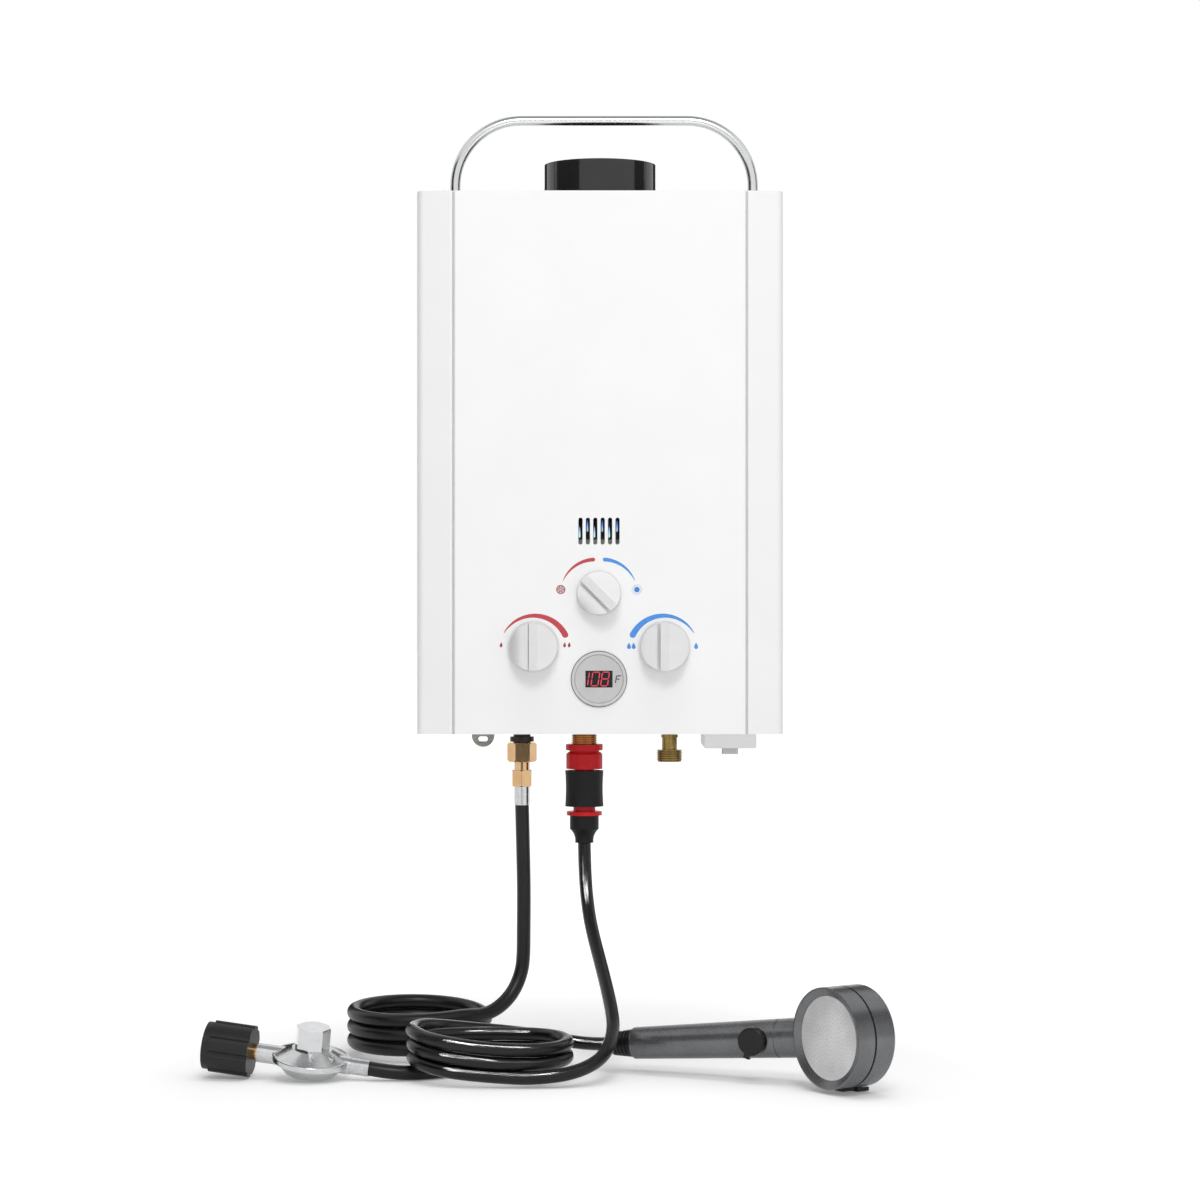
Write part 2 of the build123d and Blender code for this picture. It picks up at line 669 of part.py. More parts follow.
# ================================================================ carrying handle
pivot_z = Z_TOP + PIVOT_RISE
bar_z = Z_TOP + HANDLE_RISE
leg_xs = (HANDLE_SHIFT - HANDLE_SPAN / 2, HANDLE_SHIFT + HANDLE_SPAN / 2)
with BuildPart() as carry_handle:
    with BuildLine() as bow:
        FilletPolyline(
            (leg_xs[0], MID_Y, pivot_z), (leg_xs[0], MID_Y, bar_z), (leg_xs[1], MID_Y, bar_z),
            (leg_xs[1], MID_Y, pivot_z), radius=HANDLE_CORNER_R)
    with BuildSketch(Plane(origin=bow.line @ 0, z_dir=bow.line % 0)):
        Circle(HANDLE_D / 2)
    sweep()
    for leg_x in leg_xs:
        with Locations((leg_x, MID_Y, pivot_z)):
            Sphere(HANDLE_D / 2)
        with Locations(Location((leg_x, MID_Y, pivot_z), (0, 90, 0))):
            Cylinder(PIN_R + PIN_FIT, 2 * HANDLE_D, mode=Mode.SUBTRACT)
carry_handle.part.label = "carry_handle"
export_step(carry_handle.part, "parts/carry_handle.step")

ear_x = HANDLE_D / 2 + EAR_GAP + EAR_T / 2
with BuildPart() as handle_brackets:
    for leg_x in leg_xs:
        with Locations((leg_x, MID_Y, Z_TOP)):
            Box(2 * ear_x + EAR_T, BRACKET_L, BRACKET_BASE_T, align=BASE)
        for side in (-1, 1):
            with Locations((leg_x + side * ear_x, MID_Y, Z_TOP)):
                Box(EAR_T, 2 * EAR_R, PIVOT_RISE, align=BASE)
            with Locations(Location((leg_x + side * ear_x, MID_Y, pivot_z), (0, 90, 0))):
                Cylinder(EAR_R, EAR_T)
        with Locations(Location((leg_x, MID_Y, pivot_z), (0, 90, 0))):
            Cylinder(PIN_R, 2 * ear_x + 2 * EAR_T)
handle_brackets.part.label = "handle_brackets"
export_step(handle_brackets.part, "parts/handle_brackets.step")

# ================================================================ flue
with BuildPart() as flue_collar:
    with BuildSketch(Plane.XY.offset(Z_TOP)):
        with Locations((0, MID_Y)):
            Circle(FLUE_FLANGE_R)
            Circle(FLUE_R - FLUE_T, mode=Mode.SUBTRACT)
    extrude(amount=FLUE_FLANGE_T)
    with BuildSketch(Plane.XY.offset(Z_TOP)):
        with Locations((0, MID_Y)):
            Circle(FLUE_R)
            Circle(FLUE_R - FLUE_T, mode=Mode.SUBTRACT)
    extrude(amount=FLUE_H)
flue_collar.part.label = "flue_collar"
export_step(flue_collar.part, "parts/flue_collar.step")

grille_r = FLUE_R - FLUE_T
ring_step = (grille_r - GRILLE_BAR - GRILLE_HUB_R) / GRILLE_RINGS
with BuildPart() as flue_grille:
    with BuildSketch(Plane.XY.offset(Z_TOP + FLUE_H - GRILLE_DROP - GRILLE_T)):
        with Locations((0, MID_Y)):
            Circle(GRILLE_HUB_R)
            for ring in range(1, GRILLE_RINGS + 1):
                ring_r = GRILLE_HUB_R + ring * ring_step + GRILLE_BAR
                with BuildSketch(mode=Mode.PRIVATE) as hoop:
                    Circle(ring_r)
                    Circle(ring_r - GRILLE_BAR, mode=Mode.SUBTRACT)
                add(hoop.sketch)
            Rectangle(2 * grille_r - GRILLE_BAR, GRILLE_BAR)
            Rectangle(GRILLE_BAR, 2 * grille_r - GRILLE_BAR)
    extrude(amount=GRILLE_T)
flue_grille.part.label = "flue_grille"
export_step(flue_grille.part, "parts/flue_grille.step")


# ================================================================ control knobs
def control_knob(place, radius, flange_lip, shaft_end, groove_w, left_fall):
    """A round knob on a plane that faces the user: skirt flange, shaft, a raised rib with a groove on its left,
    and a face that rounds over to the left of the rib by left_fall and slopes off to the right of it."""
    base = place.offset(KNOB_GAP)
    section = Plane(origin=base.origin, x_dir=base.x_dir, z_dir=-base.y_dir)
    wide = radius + KNOB_FLANGE_LIP + 1
    rib_edge = KNOB_RIB_W / 2
    groove_floor = KNOB_H - KNOB_GROOVE_DEPTH
    left_start = (-rib_edge - groove_w, KNOB_H - KNOB_STEP_LEFT)
    left_mid = ((left_start[0] - wide) / 2, left_start[1] - KNOB_ROUND_SHARE * left_fall)
    left_end = (-wide, left_start[1] - left_fall)
    with BuildPart() as knob:
        with BuildSketch(base):
            Circle(radius + flange_lip)
        extrude(amount=KNOB_FLANGE_T)
        with BuildSketch(base):
            Circle(radius)
        extrude(amount=KNOB_H, taper=math.degrees(math.atan(KNOB_TAPER / KNOB_H)))
        with BuildSketch(section):
            with BuildLine():
                Polyline(left_start, (left_start[0], groove_floor), (-rib_edge, groove_floor),
                         (-rib_edge, KNOB_H + 1), (-wide, KNOB_H + 1), left_end)
                ThreePointArc(left_end, left_mid, left_start)
            make_face()
            Polygon((rib_edge, KNOB_H + 1), (rib_edge, KNOB_H - KNOB_STEP_RIGHT),
                    (wide, KNOB_H - KNOB_STEP_RIGHT - KNOB_FALL), (wide, KNOB_H + 1), align=None)
        extrude(amount=wide, both=True, mode=Mode.SUBTRACT)
        with BuildSketch(base.offset(KNOB_H)):
            with Locations((0, -radius + KNOB_MARK_INSET)):
                RectangleRounded(KNOB_MARK, KNOB_MARK, KNOB_MARK_R)
        extrude(amount=-KNOB_MARK_DEPTH, mode=Mode.SUBTRACT)
        with BuildSketch(base):
            Circle(KNOB_SHAFT_R)
        extrude(amount=-(shaft_end + KNOB_GAP))
    return knob


def panel_point(x, rise, tilt=0.0):
    """A plane on the front panel that faces the user, at a rise above the bottom edge, tilted to the left."""
    across = (math.cos(math.radians(tilt)), 0, math.sin(math.radians(tilt)))
    return Plane(origin=(x, FRONT_Y, Z_BOTTOM + rise), x_dir=across, z_dir=(0, -1, 0))


boss_front_y = VALVE_FRONT_Y - VALVE_BOSS_L
valve_shaft = boss_front_y - FRONT_Y + SHAFT_DEPTH
season_shaft = MANIFOLD_Y - FRONT_Y

gas_place = panel_point(CONTROLS_X - KNOB_X, KNOB_RISE)
gas_knob = control_knob(gas_place, SIDE_KNOB_R, KNOB_FLANGE_LIP, valve_shaft, KNOB_GROOVE_THIN, KNOB_ROUND_FALL)
gas_knob.part.label = "gas_knob"
export_step(gas_knob.part, "parts/gas_knob.step")

water_place = panel_point(CONTROLS_X + KNOB_X, KNOB_RISE)
water_knob = control_knob(water_place, SIDE_KNOB_R, KNOB_FLANGE_LIP, valve_shaft, KNOB_GROOVE_W, KNOB_FALL)
water_knob.part.label = "water_knob"
export_step(water_knob.part, "parts/water_knob.step")

mode_place = panel_point(CONTROLS_X, MODE_RISE, MODE_TILT)
mode_knob = control_knob(mode_place, MODE_KNOB_R, PANEL_FIT, season_shaft, KNOB_GROOVE_W, KNOB_ROUND_FALL)
mode_knob.part.label = "mode_knob"
export_step(mode_knob.part, "parts/mode_knob.step")

# ================================================================ temperature display
display = panel_point(CONTROLS_X, DISPLAY_RISE)
with BuildPart() as display_bezel:
    with BuildSketch(display):
        Circle(BEZEL_R)
        Circle(BEZEL_INNER_R, mode=Mode.SUBTRACT)
    extrude(amount=BEZEL_T)
    chamfer(display_bezel.faces().sort_by(Axis.Y)[0].edges(), BEZEL_CHAMFER)
    with BuildSketch(display):
        Circle(BEZEL_SLEEVE_R)
        Circle(BEZEL_SLEEVE_INNER_R, mode=Mode.SUBTRACT)
    extrude(amount=-BEZEL_SLEEVE_L)
    with BuildSketch(display):
        Circle(BEZEL_INNER_R)
        Circle(BEZEL_SLEEVE_INNER_R, mode=Mode.SUBTRACT)
    extrude(amount=BEZEL_FLOOR_T)
display_bezel.part.label = "display_bezel"
export_step(display_bezel.part, "parts/display_bezel.step")

with BuildPart() as display_face:
    with BuildSketch(display.offset(BEZEL_FLOOR_T)):
        Circle(BEZEL_INNER_R - PANEL_FIT)
        Rectangle(DISPLAY_W + PANEL_FIT, DISPLAY_H + PANEL_FIT, mode=Mode.SUBTRACT)
    extrude(amount=DISPLAY_FACE_T)
display_face.part.label = "display_face"
export_step(display_face.part, "parts/display_face.step")

with BuildPart() as display_module:
    with BuildSketch(display.offset(BEZEL_FLOOR_T)):
        Rectangle(DISPLAY_W, DISPLAY_H)
    extrude(amount=DISPLAY_FACE_T - DISPLAY_SINK)
    with BuildSketch(display.offset(BEZEL_FLOOR_T)):
        Rectangle(DISPLAY_BODY_W, DISPLAY_BODY_H)
    extrude(amount=-DISPLAY_BODY_T)
display_module.part.label = "display_module"
export_step(display_module.part, "parts/display_module.step")

# ================================================================ battery box, door and latch
box_top = Z_BOTTOM + BATTERY_H
with BuildPart() as battery_box:
    with BuildSketch(Plane.XY.offset(Z_BOTTOM)):
        with Locations((BATTERY_X, battery_mid_y)):
            Rectangle(BATTERY_W, battery_depth)
    extrude(amount=BATTERY_H)
    with BuildSketch(Plane.XY.offset(Z_BOTTOM)):
        with Locations((BATTERY_X, battery_mid_y)):
            Rectangle(BATTERY_W - 2 * BATTERY_WALL, battery_depth - 2 * BATTERY_WALL)
    extrude(amount=BATTERY_H - BATTERY_WALL, mode=Mode.SUBTRACT)
    for side in (-1, 1):
        with Locations((BATTERY_X + side * (BATTERY_W + BOX_LEDGE) / 2, battery_mid_y, Z_BOTTOM + SHEET)):
            Box(BOX_LEDGE, battery_depth, BOX_LEDGE, align=BASE)
        hinge_ear_x = BATTERY_X + side * (KNUCKLE_L + HINGE_EAR_T + 2 * LATCH_FIT) / 2
        with Locations((hinge_ear_x, HINGE_Y, HINGE_Z)):
            Box(HINGE_EAR_T, 2 * HINGE_EAR_R, HINGE_EAR_H, align=BASE)
        with Locations((hinge_ear_x, (HINGE_Y + BATTERY_REAR_Y) / 2, HINGE_Z + HINGE_EAR_H - EAR_LINK_T)):
            Box(HINGE_EAR_T, HINGE_Y - BATTERY_REAR_Y + 1, EAR_LINK_T, align=BASE)
        with Locations(Location((hinge_ear_x, HINGE_Y, HINGE_Z), (0, 90, 0))):
            Cylinder(HINGE_EAR_R, HINGE_EAR_T)
    with Locations(Location((BATTERY_X, HINGE_Y, HINGE_Z), (0, 90, 0))):
        Cylinder(HINGE_PIN_R, KNUCKLE_L + 2 * HINGE_EAR_T)
battery_box.part.label = "battery_box"
export_step(battery_box.part, "parts/battery_box.step")

door_top = Z_BOTTOM - DOOR_GAP
latch_y = BATTERY_FRONT_Y + LATCH_L / 2 + LATCH_INSET
with BuildPart() as battery_door:
    with BuildSketch(Plane.XY.offset(door_top - DOOR_H)):
        with Locations((BATTERY_X, battery_mid_y)):
            Rectangle(BATTERY_W, battery_depth)
    extrude(amount=DOOR_H)
    fillet(battery_door.edges().filter_by(Axis.Y).group_by(Axis.Z)[0], DOOR_CORNER_R)
    fillet(battery_door.faces().sort_by(Axis.Z)[0].edges().filter_by(Axis.X), DOOR_EDGE_R)
    with BuildSketch(Plane.XY.offset(door_top)):
        with Locations((BATTERY_X, battery_mid_y)):
            Rectangle(BATTERY_W - 4 * DOOR_WALL, battery_depth - 2 * DOOR_WALL)
    extrude(amount=-(DOOR_H - DOOR_WALL), mode=Mode.SUBTRACT)
    with BuildSketch(Plane.XY.offset(door_top - DOOR_H)):
        with Locations((BATTERY_X, latch_y + LATCH_TRAVEL / 2 + LATCH_INSET)):
            Rectangle(LATCH_STEM_W + 2 * LATCH_FIT, LATCH_STEM_L + LATCH_TRAVEL + 2 * LATCH_FIT)
    extrude(amount=2 * DOOR_WALL, mode=Mode.SUBTRACT)
    with Locations(Location((BATTERY_X, HINGE_Y, HINGE_Z), (0, 90, 0))):
        Cylinder(HINGE_R, KNUCKLE_L)
    with Locations((BATTERY_X, (HINGE_Y + BATTERY_REAR_Y) / 2, HINGE_Z)):
        Box(KNUCKLE_L, HINGE_Y - BATTERY_REAR_Y + DOOR_GAP, KNUCKLE_LINK_T)
    with Locations(Location((BATTERY_X, HINGE_Y, HINGE_Z), (0, 90, 0))):
        Cylinder(HINGE_PIN_R + PIN_FIT, KNUCKLE_L, mode=Mode.SUBTRACT)
battery_door.part.label = "battery_door"
export_step(battery_door.part, "parts/battery_door.step")

with BuildPart() as battery_latch:
    with BuildSketch(Plane.XY.offset(door_top - DOOR_H)):
        with Locations((BATTERY_X, latch_y)):
            RectangleRounded(LATCH_W, LATCH_L, LATCH_EDGE_R)
    extrude(amount=-LATCH_H)
    with Locations((BATTERY_X, latch_y + LATCH_INSET, door_top - DOOR_H)):
        Box(LATCH_STEM_W, LATCH_STEM_L, DOOR_WALL + LATCH_FIT, align=BASE)
    with Locations((BATTERY_X, latch_y + LATCH_INSET, door_top - DOOR_H + DOOR_WALL + LATCH_FIT)):
        Box(LATCH_W, LATCH_STEM_L, LATCH_HOOK_T, align=BASE)
battery_latch.part.label = "battery_latch"
export_step(battery_latch.part, "parts/battery_latch.step")

with BuildPart() as battery_cells:
    for cell_y in (battery_mid_y - CELL_R - CELL_GAP / 2, battery_mid_y + CELL_R + CELL_GAP / 2):
        with Locations((BATTERY_X, cell_y, box_top - BATTERY_WALL)):
            Cylinder(CELL_TIP_R, CELL_TIP_H, align=HANG)
        with Locations((BATTERY_X, cell_y, box_top - BATTERY_WALL - CELL_TIP_H)):
            Cylinder(CELL_R, CELL_H, align=HANG)
battery_cells.part.label = "battery_cells"
export_step(battery_cells.part, "parts/battery_cells.step")

# ================================================================ burner
core_mid_y = (CORE_FRONT_Y + CORE_REAR_Y) / 2
core_depth = CORE_REAR_Y - CORE_FRONT_Y
tray_height = TRAY_TOP - TRAY_BOTTOM
burner_xs = [BURNER_PITCH * (index - (BURNER_COUNT - 1) / 2) for index in range(BURNER_COUNT)]
with BuildPart() as burner_tray:
    with Locations((0, core_mid_y, TRAY_BOTTOM)):
        Box(CORE_W, core_depth, tray_height, align=BASE)
    with Locations((0, core_mid_y, TRAY_BOTTOM + CORE_SHEET)):
        Box(CORE_W - 2 * CORE_SHEET, core_depth - 2 * CORE_SHEET, tray_height, align=BASE, mode=Mode.SUBTRACT)
    for side in (-1, 1):
        with Locations((side * (CORE_W - CORE_SHEET) / 2, (CORE_REAR_Y - BACK_T) / 2, TRAY_BOTTOM)):
            Box(CORE_SHEET, -BACK_T - CORE_REAR_Y, tray_height, align=BASE)
    for burner_x in burner_xs:
        with Locations(Location((burner_x, CORE_FRONT_Y, MANIFOLD_Z), (90, 0, 0))):
            Cylinder(JET_R + JET_ENTRY, 4 * CORE_SHEET, mode=Mode.SUBTRACT)
burner_tray.part.label = "burner_tray"
export_step(burner_tray.part, "parts/burner_tray.step")

with BuildPart() as burner_bars:
    for burner_x in burner_xs:
        with Locations((burner_x, core_mid_y, TRAY_BOTTOM + CORE_SHEET)):
            Box(BURNER_W, core_depth - 4 * BURNER_LEAD, tray_height - BAR_CLEAR, align=BASE)
        with Locations((burner_x, core_mid_y, TRAY_TOP - BAR_CLEAR)):
            Box(BURNER_LEAD / 2, core_depth - 8 * BURNER_LEAD, SLIT_DEPTH, mode=Mode.SUBTRACT)
burner_bars.part.label = "burner_bars"
export_step(burner_bars.part, "parts/burner_bars.step")

manifold_top = MANIFOLD_Z + MANIFOLD_S / 2
season_z = Z_BOTTOM + MODE_RISE
valve_outlet_x = GAS_VALVE_LEFT + GAS_PIPE_IN
with BuildPart() as gas_manifold:
    with Locations((0, MANIFOLD_Y, MANIFOLD_Z)):
        Box(MANIFOLD_L, MANIFOLD_S, MANIFOLD_S)
    for burner_x in burner_xs:
        with Locations(Location((burner_x, MANIFOLD_Y + MANIFOLD_S / 2, MANIFOLD_Z), (-90, 0, 0))):
            Cylinder(JET_R, CORE_FRONT_Y - MANIFOLD_Y - MANIFOLD_S / 2 + JET_ENTRY, align=BASE)
    with Locations((CONTROLS_X, MANIFOLD_Y, season_z)):
        Box(2 * VALVE_BOSS_R, MANIFOLD_S, 2 * VALVE_BOSS_R)
    with Locations(Location((CONTROLS_X, MANIFOLD_Y - MANIFOLD_S / 2, season_z), (90, 0, 0))):
        Cylinder(VALVE_BOSS_R - 2, VALVE_BOSS_L, align=BASE)
    with Locations((valve_outlet_x, MANIFOLD_Y, VALVE_Z + VALVE_H / 2)):
        Cylinder(TUBE_R - 2, MANIFOLD_Z - VALVE_Z - VALVE_H / 2, align=BASE)
    with BuildSketch(mode_place):
        Circle(KNOB_SHAFT_R + SHAFT_FIT)
    extrude(amount=-(season_shaft + 1), mode=Mode.SUBTRACT)
gas_manifold.part.label = "gas_manifold"
export_step(gas_manifold.part, "parts/gas_manifold.step")

rod_z = TRAY_TOP + ELECTRODE_RISE
with BuildPart() as ignition_electrodes:
    for rod_x in (-ELECTRODE_X, ELECTRODE_X):
        with Locations(Location((rod_x, CORE_FRONT_Y - ELECTRODE_PLATE_T, rod_z), (-90, 0, 0))):
            Cylinder(CERAMIC_R, CERAMIC_L, align=BASE)
            Cylinder(ELECTRODE_R, ELECTRODE_L, align=BASE)
    with Locations((0, CORE_FRONT_Y - ELECTRODE_PLATE_T / 2, rod_z + CERAMIC_R)):
        Box(ELECTRODE_PLATE_W, ELECTRODE_PLATE_T, ELECTRODE_PLATE_H, align=HANG)
ignition_electrodes.part.label = "ignition_electrodes"
export_step(ignition_electrodes.part, "parts/ignition_electrodes.step")

# ================================================================ heat exchanger and hood
with BuildPart() as heat_exchanger:
    with Locations((0, core_mid_y, EXCHANGER_BOTTOM)):
        Box(CORE_W, core_depth, FIN_TOP - EXCHANGER_BOTTOM, align=BASE)
        Box(CORE_W - 2 * CORE_SHEET, core_depth - 2 * CORE_SHEET, FIN_TOP - EXCHANGER_BOTTOM,
            align=BASE, mode=Mode.SUBTRACT)
    fin_pitch = CORE_W / (FIN_COUNT + 1)
    for index in range(FIN_COUNT):
        with Locations((-CORE_W / 2 + (index + 1) * fin_pitch, core_mid_y, EXCHANGER_TOP)):
            Box(FIN_T, core_depth - CORE_SHEET, FIN_TOP - EXCHANGER_TOP - FIN_CLEAR, align=BASE)
    for pass_y in (-PASS_PITCH, 0, PASS_PITCH):
        with Locations(Location((0, core_mid_y + pass_y, (EXCHANGER_TOP + FIN_TOP) / 2), (0, 90, 0))):
            Cylinder(TUBE_R, CORE_W - CORE_SHEET)
    for side in (-1, 1):
        with Locations((side * (CORE_W - CORE_SHEET) / 2, (CORE_REAR_Y - BACK_T) / 2, EXCHANGER_TOP)):
            Box(CORE_SHEET, -BACK_T - CORE_REAR_Y, ARM_H, align=BASE)
heat_exchanger.part.label = "heat_exchanger"
export_step(heat_exchanger.part, "parts/heat_exchanger.step")


def hood_solid(grow):
    """The hood's body, from the exchanger's rectangle up to the flue's circle, drawn in by grow."""
    with BuildPart() as body:
        with BuildSketch(Plane.XY.offset(FIN_TOP)):
            with Locations((0, core_mid_y)):
                RectangleRounded(CORE_W - 2 * grow, core_depth - 2 * grow, HOOD_CORNER_R)
        with BuildSketch(Plane.XY.offset(Z_TOP - HOOD_NECK)):
            with Locations((0, MID_Y)):
                Circle(FLUE_R - 3 * FLUE_T - grow)
        loft()
    return body.part


with BuildPart() as flue_hood:
    add(hood_solid(0))
    add(hood_solid(CORE_SHEET), mode=Mode.SUBTRACT)
    with BuildSketch(Plane.XY.offset(Z_TOP - HOOD_NECK)):
        with Locations((0, MID_Y)):
            Circle(FLUE_R - 3 * FLUE_T)
            Circle(FLUE_R - 3 * FLUE_T - CORE_SHEET, mode=Mode.SUBTRACT)
    extrude(amount=HOOD_NECK + FLUE_FLANGE_T)
flue_hood.part.label = "flue_hood"
export_step(flue_hood.part, "parts/flue_hood.step")

# ================================================================ gas valve, water valve
valve_mid_y = (VALVE_FRONT_Y + VALVE_REAR_Y) / 2
valve_depth = VALVE_REAR_Y - VALVE_FRONT_Y


def valve_body(left, right, knob_x):
    """A cast valve body with a boss and a blind bore for its knob's shaft."""
    with BuildPart() as body:
        with Locations(((left + right) / 2, valve_mid_y, VALVE_Z)):
            Box(right - left, valve_depth, VALVE_H)
        fillet(body.edges().filter_by(Axis.Y), VALVE_EDGE_R)
        with Locations(Location((knob_x, VALVE_FRONT_Y, VALVE_Z), (90, 0, 0))):
            Cylinder(VALVE_BOSS_R, VALVE_BOSS_L, align=BASE)
        with Locations(Location((knob_x, boss_front_y, VALVE_Z), (-90, 0, 0))):
            Cylinder(KNOB_SHAFT_R + SHAFT_FIT, SHAFT_DEPTH + 1, align=BASE, mode=Mode.SUBTRACT)
    return body


gas_valve = valve_body(GAS_VALVE_LEFT, GAS_VALVE_RIGHT, CONTROLS_X - KNOB_X)
gas_valve.part.label = "gas_valve"
export_step(gas_valve.part, "parts/gas_valve.step")

with BuildPart() as gas_solenoid:
    with Locations(Location((GAS_VALVE_LEFT, valve_mid_y, VALVE_Z + SOLENOID_RISE), (0, -90, 0))):
        Cylinder(SOLENOID_R, SOLENOID_L, align=BASE)
        Cylinder(SOLENOID_CORE_R, SOLENOID_CORE_L, align=BASE)
gas_solenoid.part.label = "gas_solenoid"
export_step(gas_solenoid.part, "parts/gas_solenoid.step")

rod_start = GAS_VALVE_RIGHT + ROD_TRAVEL + 2
rod_end = WATER_VALVE_LEFT - DIAPHRAGM_T + ROD_ENGAGE
with BuildPart() as water_valve:
    add(valve_body(WATER_VALVE_LEFT, WATER_VALVE_RIGHT, CONTROLS_X + KNOB_X).part)
    with Locations(Location((WATER_VALVE_LEFT, ROD_Y, VALVE_Z), (0, -90, 0))):
        Cylinder(DIAPHRAGM_R, DIAPHRAGM_T, align=BASE)
    with Locations(Location((WATER_VALVE_LEFT - DIAPHRAGM_T, ROD_Y, VALVE_Z), (0, 90, 0))):
        Cylinder(ROD_R + SHAFT_FIT, 2 * DIAPHRAGM_T, mode=Mode.SUBTRACT)
water_valve.part.label = "water_valve"
export_step(water_valve.part, "parts/water_valve.step")

with BuildPart() as valve_push_rod:
    with Locations(Location((rod_start, ROD_Y, VALVE_Z), (0, 90, 0))):
        Cylinder(ROD_R, rod_end - rod_start, align=BASE)
    with Locations(Location((rod_start + ROD_COLLAR_AT, ROD_Y, VALVE_Z), (0, 90, 0))):
        Cylinder(2 * ROD_R, ROD_COLLAR_T, align=BASE)
valve_push_rod.part.label = "valve_push_rod"
export_step(valve_push_rod.part, "parts/valve_push_rod.step")

switch_left = SWITCH_X - SWITCH_L / 2
switch_z = VALVE_Z + SWITCH_RISE
blade_x = rod_start + ROD_COLLAR_AT + ROD_COLLAR_T + NUT_FIT
with BuildPart() as micro_switch:
    with Locations((SWITCH_X, ROD_Y, switch_z)):
        Box(SWITCH_L, SWITCH_W, SWITCH_H, align=BASE)
    with Locations(((switch_left + SWITCH_ARM_END) / 2, ROD_Y, VALVE_Z + VALVE_H / 2)):
        Box(switch_left - SWITCH_ARM_END, SWITCH_W, SWITCH_ARM_T, align=BASE)
    with Locations((blade_x + SWITCH_BLADE_T / 2, ROD_Y, VALVE_Z + SWITCH_BLADE_RISE)):
        Box(SWITCH_BLADE_T, SWITCH_W / 2, SWITCH_RISE - SWITCH_BLADE_RISE, align=BASE)
micro_switch.part.label = "micro_switch"
export_step(micro_switch.part, "parts/micro_switch.step")

with BuildPart() as igniter_module:
    with Locations((IGNITER_X, -BACK_T, IGNITER_Z)):
        Box(IGNITER_W, IGNITER_D, IGNITER_H, align=(Align.CENTER, Align.MAX, Align.CENTER))
    fillet(igniter_module.edges().filter_by(Axis.Z), VALVE_EDGE_R)
igniter_module.part.label = "igniter_module"
export_step(igniter_module.part, "parts/igniter_module.step")

# ================================================================ pipe ends and the water tube
valve_bottom = VALVE_Z - VALVE_H / 2
with BuildPart() as gas_inlet:
    with Locations((GAS_X, MID_Y, Z_BOTTOM + BIG_HEX_TOP)):
        Cylinder(NIPPLE_R, valve_bottom - Z_BOTTOM - BIG_HEX_TOP, align=BASE)
    with Locations((GAS_X, MID_Y, Z_BOTTOM + NIPPLE_FLANGE_AT)):
        Cylinder(NIPPLE_FLANGE_R, NIPPLE_FLANGE_T, align=BASE)
    with Locations((GAS_X, MID_Y, Z_BOTTOM + SHEET)):
        Cylinder(GAS_LOCKNUT_R, LOCKNUT_T, align=BASE)
gas_inlet.part.label = "gas_inlet"
export_step(gas_inlet.part, "parts/gas_inlet.step")

cold_top = Z_BOTTOM + COLD_THREAD_TOP
cold_bottom = Z_BOTTOM + COLD_THREAD_BOTTOM
with BuildPart(Plane((COLD_X, MID_Y, 0))) as cold_inlet:
    with Locations((0, 0, cold_top)):
        Cylinder(NECK_R, valve_bottom - cold_top, align=BASE)
    with Locations((0, 0, cold_bottom)):
        Cylinder(THREAD_ROOT_R, cold_top - cold_bottom, align=BASE)
    thread_crests(cold_top, cold_bottom + THREAD_LAND)
    with Locations((0, 0, Z_BOTTOM + COLD_COLLAR_AT)):
        Cylinder(NECK_R + NECK_COLLAR, COLD_COLLAR_T, align=BASE)
    with Locations((0, 0, Z_BOTTOM + SHEET)):
        Cylinder(LOCKNUT_R, LOCKNUT_T, align=BASE)
    with Locations((0, 0, cold_bottom)):
        Cylinder(THREAD_ROOT_R - PIPE_WALL, COLD_BORE_DEPTH, align=BASE, mode=Mode.SUBTRACT)
cold_inlet.part.label = "cold_inlet"
export_step(cold_inlet.part, "parts/cold_inlet.step")

hot_bottom = Z_BOTTOM + HOT_THREAD_BOTTOM
hot_top = Z_BOTTOM + HOT_TOP
with BuildPart(Plane((HOT_X, MID_Y, 0))) as hot_outlet:
    with Locations((0, 0, hot_bottom)):
        Cylinder(THREAD_ROOT_R, hot_top - hot_bottom, align=BASE)
    thread_crests(Z_BOTTOM, Z_BOTTOM + TAP_FLANGE_TOP)
    with Locations((0, 0, Z_BOTTOM + SHEET)):
        Cylinder(LOCKNUT_R, LOCKNUT_T, align=BASE)
hot_outlet.part.label = "hot_outlet"
export_step(hot_outlet.part, "parts/hot_outlet.step")

